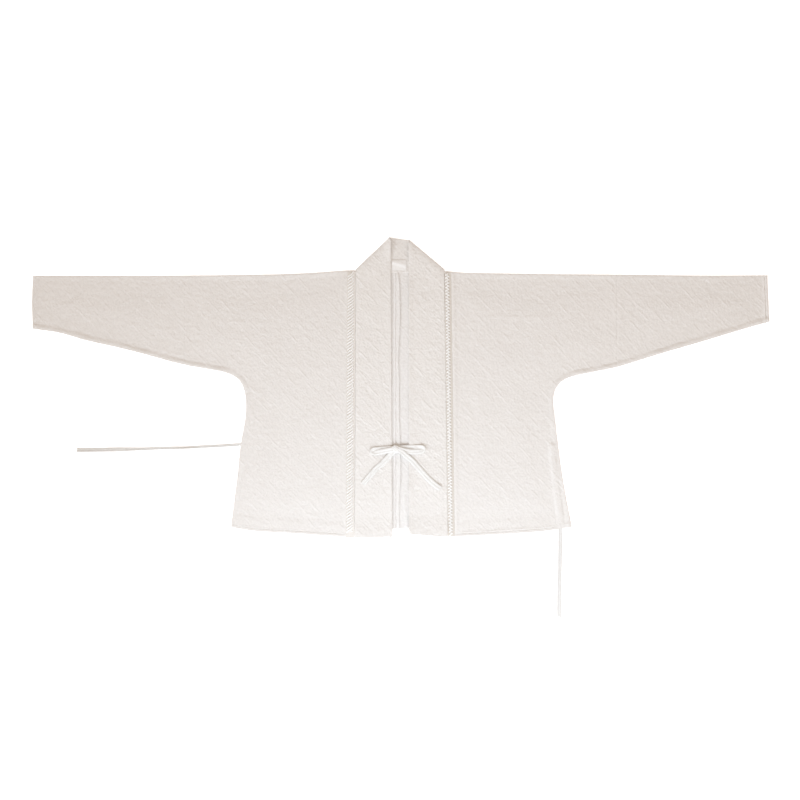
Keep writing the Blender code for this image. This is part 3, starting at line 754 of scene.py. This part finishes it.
def back_height(node, points):
    if node == "body_left":
        reach, heights = np.array(SEAM_PROFILE).T
        ease = 0.00012 * wander(points, 0.018, 21) * (points[:, 0] < 0.0088)
        return np.interp(-points[:, 0], reach, heights) + ease
    height = np.full(len(points), BACK_MID)
    if node == "body_right":
        away, place = near(points, np.array(BACK_FOLD) + (0, SHOULDER_Y))
        crumpled = ramp(-points[:, 1] + SHOULDER_Y, 0.46, 0.54) * (points[:, 0] < 0.022)
        height += BACK_FOLD_LIFT * bell(away, 0.0019) * ramp(place, 0, 0.03)
        height += 0.0005 * crumpled * (1 + wander(points, 0.010, 22))
    return height


def collar_cloth(material):
    """The doubled strip: up the left front, over at the shoulder, across the neck and down."""
    across = np.linspace(0, 1, COLLAR_COLUMNS)[:, None]
    half = COLLAR_WALL / 2
    radius = (COLLAR_FOLD_MID - COLLAR_NECK_MID) / 2
    fronts = {}
    for word, sign in SIGN.items():
        strips = ((COLLAR_HEM[word], SHOULDER_Y + half), (COLLAR_FOLD[word], SHOULDER_Y))
        (seam_start, free_start), (seam_end, free_end) = (
            (
                np.array([sign * (strip.seam_reach - half), strip.seam_height + base]),
                np.array([sign * (strip.free_reach + half), strip.free_height + base]),
            )
            for strip, base in strips
        )
        rows = []
        for share in np.linspace(0, 1 - 1.5 / COLLAR_ROWS, COLLAR_ROWS):
            row = lerp(lerp(seam_start, seam_end, share), lerp(free_start, free_end, share), across)
            rise = ramp(row[:, 1] - SHOULDER_Y, *COLLAR_RISE)
            rows.append(np.column_stack([row, lerp(COLLAR_LOW_MID, COLLAR_FOLD_MID, rise)]))
        inward = np.array([seam_end[1] - free_end[1], free_end[0] - seam_end[0]]) * sign
        inward /= -np.linalg.norm(inward)
        for share in np.linspace(0, 1, COLLAR_TURN_ROWS):
            turn = math.cos(math.pi * share)
            away = half + radius * (1 - math.sin(math.pi * share))
            row = lerp(seam_end, free_end, across) + inward * away
            height = (COLLAR_FOLD_MID + COLLAR_NECK_MID) / 2 + radius * turn
            raised = collar_roll(word, across[:, 0]) * (1 + turn) / 2
            rows.append(np.column_stack([row, height + raised]))
        fronts[word] = rows
    neck = []
    left, right = fronts["left"][-1], fronts["right"][-1]
    for share in np.linspace(0, 1, NECK_ROWS)[1:-1]:
        seam, free = lerp(left[0], right[0], share), lerp(left[-1], right[-1], share)
        seam[1] = neckline(seam[0]) + half
        neck.append(lerp(seam, free, across))
    rows = np.array([*fronts["left"], *neck, *reversed(fronts["right"])])
    lift = collar_lift(rows)
    lift[COLLAR_ROWS:-COLLAR_ROWS] = 0
    rows[:, :, 2] += lift
    faces = grid_faces(*rows.shape[:2])
    return thicken("collar_cloth", rows.reshape(-1, 3), faces, half * 0.96, material)


def collar_roll(word, share):
    """How far the collar climbs up to its fold, by the share of its width from the seam."""
    return COLLAR_ROLL * ramp(share, 0, 0.15) + COLLAR_EDGE_ROLL[word] * ramp(share, 0.78, 1)


def neckline(x):
    """The place along Y of the collar's seam across the back of the neck."""
    left, right = COLLAR_FOLD["left"].seam_reach, COLLAR_FOLD["right"].seam_reach
    middle, half = (right - left) / 2, (right + left) / 2
    return SHOULDER_Y + NECK_DIP + NECK_RISE * ((x - middle) / half) ** 2


def collar_lift(rows):
    """The uneven lie of the collar's fronts: soft relief, lifted free edges, and the roll in
    which the strip stands up before it folds over at the neck."""
    shape = rows.shape[:2]
    points = rows.reshape(-1, 3)
    height = points[:, 1]
    share = np.broadcast_to(np.linspace(0, 1, shape[1]), shape).reshape(-1)
    lift = 0.00034 * wander(points, 0.055, 11) + 0.00020 * wander(points, 0.020, 12)
    lift += crease_lift(points) * 0.8 - 0.00030 * (1 - ramp(share, 0.0, 0.10))
    flat = ramp(height - SHOULDER_Y, *COLLAR_FLAT)
    lift *= 1 - flat
    free = (1 + 0.7 * wander_along(height, 0.036, 13)) * ramp(share, 0.84, 1.0) * (1 - flat)
    free *= 1 + 0.9 * ramp(SHOULDER_Y - height, 0.38, 0.50)
    for word, sign in SIGN.items():
        fold, hem = COLLAR_FOLD[word], COLLAR_HEM[word]
        below = SHOULDER_Y + lerp(fold.seam_height, fold.free_height, share) - height
        above = height - SHOULDER_Y - hem.seam_height
        rise = FREE_EDGE_LIFT[word] * free
        rise += collar_roll(word, share) * (1 - ramp(below, 0, COLLAR_CLIMB[word]))
        rise += COLLAR_HEM_RISE[word] * (1 - ramp(above, -0.004, COLLAR_HEM_CLIMB))
        lift += rise * (points[:, 0] * sign > 0)
    return lift.reshape(shape)


def grid_faces(rows, columns, closed=False):
    """The faces of a grid whose points are listed row by row, with its last row joined to its
    first where it is closed."""
    faces = []
    for row in range(rows if closed else rows - 1):
        here, there = row * columns, (row + 1) % rows * columns
        for column in range(columns - 1):
            faces.append((here + column, here + column + 1, there + column + 1, there + column))
    return faces


def closed_faces(rings, sides):
    """The faces round points that are listed as a tip, rings of points and another tip."""
    last = 1 + (rings - 1) * sides
    faces = []
    for number in range(sides):
        beside = (number + 1) % sides
        faces.append((0, 1 + number, 1 + beside))
        faces.append((last + sides, last + beside, last + number))
        for here in range(1, last, sides):
            there = here + sides
            faces.append((here + number, there + number, there + beside, here + beside))
    return faces


def ways(path):
    """Unit vectors along a path, and level ones square to them."""
    along = unit(np.gradient(path, axis=0))
    return along, unit(np.cross(along, (0, 0, 1)))


def tube(path, wide, high, sides):
    """Points and faces of a closed soft tube. Path holds its middle points, wide and high the
    half sizes of its section at each of them, and its ends are closed to a point."""
    along, level = ways(path)
    up = np.cross(level, along)
    angles = np.linspace(0, 2 * math.pi, sides, endpoint=False)
    rings = (
        path[:, None]
        + level[:, None] * (wide[:, None] * np.cos(angles))[:, :, None]
        + up[:, None] * (high[:, None] * np.sin(angles))[:, :, None]
    )
    return [path[0], *rings.reshape(-1, 3), path[-1]], closed_faces(len(path), sides)


def bundle(name, tubes, material):
    """Several closed meshes as one piece."""
    points, faces = [], []
    for some_points, some_faces in tubes:
        first = len(points)
        points += some_points
        faces += [tuple(first + corner for corner in face) for face in some_faces]
    return made(name, points, faces, material)


def stands_for(piece, node):
    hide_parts(node)


def stitches(name, run, depth, height, material, pitch=STITCH_PITCH):
    """A row of short stitches beside a run of edge points. Height gives the cloth's top."""
    line = run[:, :2] + sideways(run) * depth
    line = even(line, 2 * max(2, round(passed(line)[-1] / pitch)) + 1)
    shares = np.array([0.08, 0.2, 0.5, 0.8, 0.92])[:, None]
    rise = np.array([-0.00028, 0.00002, 0.00012, 0.00002, -0.00028])
    thick = np.array([0.5, 0.9, 1, 0.9, 0.5]) * STITCH_RADIUS
    tubes = []
    for start, stop in zip(line[1::2], line[2::2]):
        path = lerp(start, stop, shares) + (stop - start) * 0.12
        tubes.append(tube(np.column_stack([path, height(path) + rise]), thick, thick, 6))
    row = bundle(name, tubes, material)
    return row


def trim_braid(word, tape, ground, yarn):
    """A flat braid on its tape. Its strands of cords climb from both edges and cross. A darker
    sheet under the strands paints the shade in the gaps between them.
    """
    sign = SIGN[word]
    hem, fold = COLLAR_HEM[word], COLLAR_FOLD[word]
    foot, top = SHOULDER_Y + hem.seam_height, SHOULDER_Y + TRIM_TOP_Y[word]
    bottom = foot + TRIM_FOOT[word]
    half = TRIM_WIDTH[word] / 2

    def middle(y):
        share = (y - foot) / (fold.seam_height - hem.seam_height)
        return sign * (lerp(hem.seam_reach, fold.seam_reach, share) + TRIM_CLEAR + half)

    rng = random.Random(7 + sign)
    west, east = TRIM_BARE[word]
    reach_out = half - (west + east) / 2
    pitch = TRIM_PITCH[word]
    cross = TRIM_CROSS[word] * reach_out
    shares = np.array([0.03, 0.14, 0.32, 0.54, 0.76, 0.95, 1.10])
    bowed = shares + 0.10 * np.sin(2 * math.pi * shares)
    rise = np.array([-0.26, 0.02, 0.18, 0.30, 0.34, 0.14, -0.34]) * 0.001
    spread = np.array([0.60, 0.90, 1, 1.03, 1, 0.86, 0.50])
    tubes = []
    for number in range(int((top - bottom) / pitch) + 1):
        for way, later in ((-1, 0), (1, 0.5)):
            y = bottom + (number + later) * pitch + rng.uniform(-0.06, 0.06) * pitch
            if y > top - TRIM_SLOPE * half * 0.8:
                continue
            reach = reach_out - way * cross
            across = reach_out - 0.0010 - shares * (reach - 0.0006)
            x = middle(y) + (west - east) / 2 + way * across
            path = np.column_stack([x, y + TRIM_SLOPE * reach * bowed, TRIM_MID + rise])
            beside = np.column_stack([sideways(path), path[:, 0] * 0])
            for cord in range(CORDS):
                away = (cord - (CORDS - 1) / 2) * CORD_WIDE * 1.5 * np.minimum(1, spread)
                wide = CORD_WIDE * spread * rng.uniform(0.93, 1.05)
                tubes.append(tube(path + beside * away[:, None], wide, CORD_HIGH * spread, 8))
    braid = bundle(f"trim_{word}_braid", tubes, yarn)
    rows = np.linspace(foot + 0.0015, top, TRIM_ROWS)
    for layer, places, low, high, height, wall, material in (
        ("tape", rows, -half, half, 0, 0.00025, tape),
        # the second layer is a darker sheet under the strands, painted shade for the gaps between
        # them
        ("ground", rows[3:], west - half + 0.0008, half - east - 0.0006, 0.0002, 0.00012, ground),
    ):
        columns = np.linspace(low, high, TRIM_COLUMNS)
        grid = [(middle(y) + x, y, TRIM_TAPE_MID + height) for y in places for x in columns]
        faces = grid_faces(len(places), TRIM_COLUMNS)
        thicken(f"trim_{word}_{layer}", np.array(grid), faces, wall, material)
    stands_for(braid, f"trim_{word}")


def ribbon(name, stations, widths, step, material, notch=0.0):
    """A flat ribbon along its stations. Its width lies level and square to its way, turned by the
    roll. Widths pairs places along it with widths. A notch cuts the far end to two points."""
    table = [(row.x, row.y + SHOULDER_Y, row.z, math.radians(row.roll)) for row in stations]
    path = smooth(table, step)
    places, rolls = path[:, :3], path[:, 3]
    along, level = ways(places)
    wide = level * np.cos(rolls)[:, None] + np.cross(level, along) * np.sin(rolls)[:, None]
    face = np.cross(wide, along)
    face *= np.where(face[:, 2] < 0, -1, 1)[:, None]
    width = np.interp(passed(places), *zip(*widths))[:, None]
    shares = np.linspace(-0.5, 0.5, RIBBON_COLUMNS)
    rows = places[:, None] + wide[:, None] * ((width - RIBBON_WALL) * shares)[:, :, None]
    rows -= face[:, None] * (RIBBON_CUP * np.cos(4 * math.pi * shares))[None, :, None]
    if notch:
        fade = np.clip(1 - np.arange(len(rows))[::-1] * step / 0.012, 0, 1)
        rows -= along[:, None] * (notch * fade[:, None] * (1 - 2 * np.abs(shares)))[:, :, None]
    faces = grid_faces(len(rows), RIBBON_COLUMNS)
    return thicken(f"{name}_tape", rows.reshape(-1, 3), faces, RIBBON_WALL / 2 * 0.95, material)


def knot(material):
    """The knot: a band wrapped round the gathered ribbons, with folds along it."""
    turn = np.array([
        (math.cos(KNOT_TURN), math.sin(KNOT_TURN), 0),
        (-math.sin(KNOT_TURN), math.cos(KNOT_TURN), 0),
        (0, 0, 1),
    ])
    centre = np.array(KNOT_AT) + (0, SHOULDER_Y, 0)
    shares = np.linspace(-1, 1, 15)
    folds = 0.00035 * np.cos(3.2 * math.pi * shares + 0.6) - 0.0011 * np.abs(shares) ** 2.6
    rows = []
    for angle in np.linspace(0, 2 * math.pi, 48, endpoint=False):
        narrow = 1 + 0.14 * math.cos(2 * angle)
        sizes = [KNOT_WIDE + folds, shares * KNOT_BAND * narrow, KNOT_HIGH + folds]
        radius = np.stack(sizes, axis=1)
        rows.append(radius * (math.cos(angle), 1, math.sin(angle)))
    points = np.vstack(rows) @ turn + centre
    faces = grid_faces(len(rows), len(shares), closed=True)
    band = thicken("bow_knot_band", points, faces, 0.0004, material)

    rings, sides = 15, 28
    tilt = np.repeat(math.pi * np.arange(1, rings + 1) / (rings + 1), sides)
    around = np.tile(2 * math.pi * np.arange(sides) / sides, rings)
    pucker = 1 + 0.10 * np.sin(5 * around + 1) * np.cos(tilt) ** 2
    lump = np.column_stack([
        CORE_WIDE * np.sin(tilt) * np.cos(around) * pucker,
        -CORE_REACH * np.cos(tilt),
        CORE_HIGH * np.sin(tilt) ** 0.8 * np.sin(around) * pucker,
    ])
    points = np.vstack([(0, -CORE_REACH, 0), lump, (0, CORE_REACH, 0)]) @ turn + centre
    faces = [(face[0], *face[:0:-1]) for face in closed_faces(rings, sides)]
    inside = made("bow_knot_core", points, faces, material)
    stands_for(band, "bow_knot")


def label(material, thread):
    """The blank satin label, sewn down along its two short sides."""
    (left, right), (low, high) = LABEL_X, (y + SHOULDER_Y for y in LABEL_Y)
    across = np.linspace(left + RIM, right - RIM, 24)
    up = np.linspace(low + RIM, high - RIM, 18)
    grid = np.array([(x, y, LABEL_MID) for y in up for x in across])
    ridge = lerp(high - 0.004, high - 0.013, (grid[:, 0] - left) / (right - left))
    below = ridge - grid[:, 1]
    grid[:, 2] += LABEL_CREASE * (1 - ramp(below, 0, 0.008)) * (1 - ramp(-below, 0, 0.010))
    piece = thicken("label_satin", grid, grid_faces(len(up), len(across)), LABEL_HALF, material)
    stands_for(piece, "neck_label")
    for word, x in (("left", left), ("right", right)):
        run = np.array([(x, high - 0.002), (x, low + 0.002)])[:: -SIGN[word]]
        name = f"label_stitches_{word}"
        top = LABEL_MID + LABEL_HALF
        stitches(name, run, 0.0018, lambda path: top, thread, 0.0026)


class Graph:
    """A shader's nodes, made and linked in one call each."""

    def __init__(self, tree):
        self.tree = tree

    def node(self, kind, inputs=(), **settings):
        made_node = self.tree.nodes.new(kind)
        for name, value in settings.items():
            setattr(made_node, name, value)
        pairs = inputs.items() if isinstance(inputs, dict) else enumerate(inputs)
        for name, value in pairs:
            if isinstance(value, bpy.types.NodeSocket):
                self.tree.links.new(value, made_node.inputs[name])
            else:
                made_node.inputs[name].default_value = value
        return made_node

    def math(self, operation, *values, clamp=False):
        found = self.node("ShaderNodeMath", values, operation=operation, use_clamp=clamp)
        return found.outputs[0]

    def vector(self, operation, *values):
        found = self.node("ShaderNodeVectorMath", values, operation=operation)
        return found.outputs["Value" if operation == "DOT_PRODUCT" else "Vector"]

    def noise(self, coordinates, size, detail, stretch=(1, 1, 1), turn=0.0):
        """Soft noise from 0 to 1, whose patches have about the given size."""
        mapping = {"Vector": coordinates, "Scale": stretch, "Rotation": (0, 0, turn)}
        turned = self.node("ShaderNodeMapping", mapping).outputs[0]
        texture = {"Vector": turned, "Scale": 1 / size, "Detail": detail}
        return self.node("ShaderNodeTexNoise", texture).outputs[0]

    def between(self, value, *ranges):
        """The value mapped from one range (low, high) to another, and kept inside it."""
        return self.node("ShaderNodeMapRange", (value, *ranges)).outputs[0]


def figure(graph, coordinates):
    """The height from 0 to 1 of the woven figure, whose repeats step down by half a tile."""
    width, height = TILE
    skewed = graph.node("ShaderNodeCombineXYZ", [
        graph.vector("DOT_PRODUCT", coordinates, (1 / width, 0, 0)),
        graph.vector("DOT_PRODUCT", coordinates, (-0.5 / width, 1 / height, 0)),
    ]).outputs[0]
    highest = 0.0
    for stroke in STROKES:
        angle = math.radians(stroke.angle)
        along = Vector((math.cos(angle), math.sin(angle))) / (stroke.length / 2000)
        across = Vector((-math.sin(angle), math.cos(angle))) / (stroke.width / 1000)
        x, y = stroke.x / 1000, stroke.y / 1000
        centre = (x / width, y / height - 0.5 * x / width, 0)
        away = graph.vector("SUBTRACT", skewed, centre)
        away = graph.vector("WRAP", away, (0.5, 0.5, 0.5), (-0.5, -0.5, -0.5))
        place, side = (
            graph.vector(
                "DOT_PRODUCT", away, (way.x * width + way.y * height / 2, way.y * height, 0)
            )
            for way in (along, across)
        )
        bend = graph.math("SINE", graph.math("MULTIPLY", place, math.pi))
        side = graph.math("MULTIPLY_ADD", bend, stroke.bend / stroke.width, side)
        side = graph.math("MULTIPLY", side, side)
        place = graph.math("MULTIPLY", place, place)
        ends = graph.math("MULTIPLY_ADD", place, place, side)
        ridge = graph.math("SUBTRACT", 1.0, ends, clamp=True)
        ridge = graph.math("MULTIPLY", ridge, (stroke.width / WIDEST_STROKE) ** 1.5)
        highest = graph.math("MAXIMUM", highest, ridge)
    return highest


def cloth_material(name, colour, offset=(0, 0, 0), figured=True, rough=0.85, relief=1.0):
    """Woven cloth, with the jacquard figure if it is figured. Relief scales its unevenness."""
    material = bpy.data.materials.new(name)
    material.use_nodes = True
    graph = Graph(material.node_tree)
    place = graph.node("ShaderNodeTexCoord").outputs["Object"]
    place = graph.vector("ADD", place, offset)
    grain = graph.noise(place, GRAIN_SIZE, 1.5)
    warp, weft = (
        graph.math("SINE", graph.vector("DOT_PRODUCT", place, direction))
        for direction in ((2 * math.pi / WEAVE, 0, 0), (0, 2 * math.pi / WEAVE, 0))
    )
    height = 0.0
    for texture, size in (
        (graph.noise(place, RIPPLE_SIZE, 1.0), RIPPLE_HEIGHT),
        (grain, GRAIN_HEIGHT),
        (graph.noise(place, SLUB_SIZE, 1.0, stretch=(0.16, 1, 1)), SLUB_HEIGHT),
        (graph.math("MULTIPLY", warp, weft), THREAD_HEIGHT),
    ):
        height = graph.math("MULTIPLY_ADD", texture, size, height)
    tone = graph.between(graph.noise(place, PATCH_SIZE, 2.0), 0.3, 0.7, -0.5, 0.5)
    shade = graph.math("MULTIPLY_ADD", tone, 0.012, 1.0)
    shade = graph.math("MULTIPLY_ADD", graph.between(grain, 0.3, 0.7, -1, 1), 0.024, shade)
    roughness = graph.math("MULTIPLY_ADD", tone, 0.04, rough)
    if figured:
        strokes = figure(graph, place)
        worn = graph.noise(place, WORN_SIZE, 1.0, stretch=(0.6, 1, 1), turn=math.radians(42))
        strokes = graph.math("MULTIPLY", strokes, strokes)
        strokes = graph.math("MULTIPLY", strokes, graph.between(worn, 0.34, 0.58, 0.25, 1.0))
        height = graph.math("MULTIPLY_ADD", strokes, FIGURE_HEIGHT, height)
        shade = graph.math("MULTIPLY_ADD", strokes, 0.020, shade)
        roughness = graph.math("MULTIPLY_ADD", strokes, -0.12, roughness)
    tint = graph.node("ShaderNodeVectorMath", {0: colour, "Scale": shade}, operation="SCALE")
    bump = graph.node("ShaderNodeBump", {"Height": height, "Distance": relief, "Strength": 1.0})
    shader = material.node_tree.nodes["Principled BSDF"]
    shader.inputs["Sheen Weight"].default_value = 0.08
    for socket, name in (
        (tint.outputs[0], "Base Color"), (roughness, "Roughness"), (bump.outputs[0], "Normal"),
    ):
        graph.tree.links.new(socket, shader.inputs[name])
    return material


def placed_camera():
    """A camera straight above that shows the picture's width of floor."""
    data = bpy.data.cameras.new("camera")
    data.lens = 85
    thing = added("camera", data)
    thing.location = (*PICTURE_CENTRE, PICTURE_WIDTH * data.lens / data.sensor_width)
    bpy.context.scene.camera = thing


def light(name, kind, power):
    data = bpy.data.lights.new(name, kind)
    data.energy = power
    data.color = LAMP_COLOUR
    return added(name, data)


def lights():
    for lamp in LAMPS:
        thing = light(lamp.name, "AREA", lamp.power)
        thing.data.size = lamp.size
        thing.location = (lamp.x, lamp.y, LAMP_HEIGHT)
        way = Vector(LAMP_AIM) - thing.location
        thing.rotation_euler = way.to_track_quat("-Z", "Y").to_euler()
    thing = light("far", "SUN", FAR_LIGHT)
    thing.data.angle = FAR_WIDTH
    thing.rotation_euler = (math.pi / 2 - FAR_HEIGHT, 0, FAR_TURN)


def floor():
    material = bpy.data.materials.new("floor")
    material.use_nodes = True
    shader = material.node_tree.nodes["Principled BSDF"]
    shader.inputs["Base Color"].default_value = (0.9, 0.9, 0.9, 1)
    shader.inputs["Roughness"].default_value = 0.9
    shader.inputs["Emission Color"].default_value = (1, 1, 1, 1)
    shader.inputs["Emission Strength"].default_value = FLOOR_GLOW
    ends = (-FLOOR_REACH, FLOOR_REACH)
    thing = made("floor", [(x, y, 0) for y in ends for x in ends], [(0, 1, 3, 2)], material)
    thing.location.z = -FLOOR_DROP


def room():
    world = bpy.data.worlds.new("room")
    world.use_nodes = True
    background = world.node_tree.nodes["Background"]
    background.inputs["Color"].default_value = (*ROOM_COLOUR, 1)
    background.inputs["Strength"].default_value = ROOM_LIGHT
    bpy.context.scene.world = world
    bpy.context.scene.view_settings.view_transform = "Standard"


def build():
    plain = {
        name: cloth_material(name, colour, figured=False, rough=rough, relief=0.4)
        for name, (colour, rough) in PLAIN_CLOTHS.items()
    }
    figured = {
        name: cloth_material(name, colour, offset, relief=relief)
        for name, (colour, offset, relief) in FIGURED_CLOTHS.items()
    }
    tape = plain["tape"]
    collar = collar_cloth(figured["collar_cloth"])
    stands_for(collar, "collar")
    for word in SIGN:
        body, hem = panel("body", word, figured[f"jacquard_{word}"])
        paint_inside_lighter(body, figured["jacquard_painted_lighter_inside"])
        sleeve, cuff = panel("sleeve", word, figured[f"jacquard_{word}"])
        for piece, kind, size, area, run, edge in (
            (body, "body", (0.47, 1.13), 0.385, hem, "hem"),
            (sleeve, "sleeve", (0.33, 0.40), 0.099, cuff, "cuff"),
        ):
            name = f"{edge}_stitches_{word}"
            row = stitches(name, run, STITCH_DEPTH[edge], height_on(piece), tape)
            stands_for(piece, f"{kind}_{word}")
        trim_braid(word, plain[f"braid_tape_{word}"], plain[f"braid_ground_{word}"], plain["braid"])
    label(plain["satin"], tape)
    ties(plain["tie_tape_painted_shade"], plain["bow_tape"])


def paint_inside_lighter(body, material):
    """Gives the back's inside, where it shows between the fronts, a paler copy of the cloth:
    painted light that lifts the shade in that gap.
    """
    body.data.materials.append(material)
    for polygon in body.data.polygons:
        if abs(polygon.center.x) < PAINTED_LIGHTER_REACH:
            polygon.material_index = 1


def height_on(piece):
    """A function that gives the height of a piece's upper side at some points."""
    tree = BVHTree.FromPolygons(
        [vertex.co for vertex in piece.data.vertices],
        [polygon.vertices for polygon in piece.data.polygons],
    )

    def heights(points):
        hits = [tree.ray_cast((x, y, 1), (0, 0, -1))[0] for x, y in points]
        return np.array([FRONT_TOP if hit is None else hit.z for hit in hits])

    return heights


def ties(material, bow_material):
    for name, stations, widths, length, notch in (
        ("side_tie", SIDE_TIE, SIDE_TIE_WIDTHS, 0.36, 0.0),
        ("inner_tie", INNER_TIE, ((0, TIE_WIDTH),), 0.38, TIE_NOTCH),
    ):
        piece = ribbon(name, stations, widths, 0.0025, material, notch)
        stands_for(piece, name)
    knot(bow_material)
    bow = {}
    for name, stations in BOW.items():
        bow[name] = ribbon(name, stations, ((0, RIBBON_WIDTH),), 0.0015, bow_material)
        stands_for(bow[name], name)


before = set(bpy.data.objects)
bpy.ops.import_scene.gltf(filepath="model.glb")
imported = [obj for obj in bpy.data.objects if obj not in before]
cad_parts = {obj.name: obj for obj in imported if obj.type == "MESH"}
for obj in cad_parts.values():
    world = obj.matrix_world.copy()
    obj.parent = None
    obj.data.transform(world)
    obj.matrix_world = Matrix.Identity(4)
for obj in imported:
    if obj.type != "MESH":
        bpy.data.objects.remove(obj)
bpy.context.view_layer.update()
build()
placed_camera()
floor()
room()
lights()
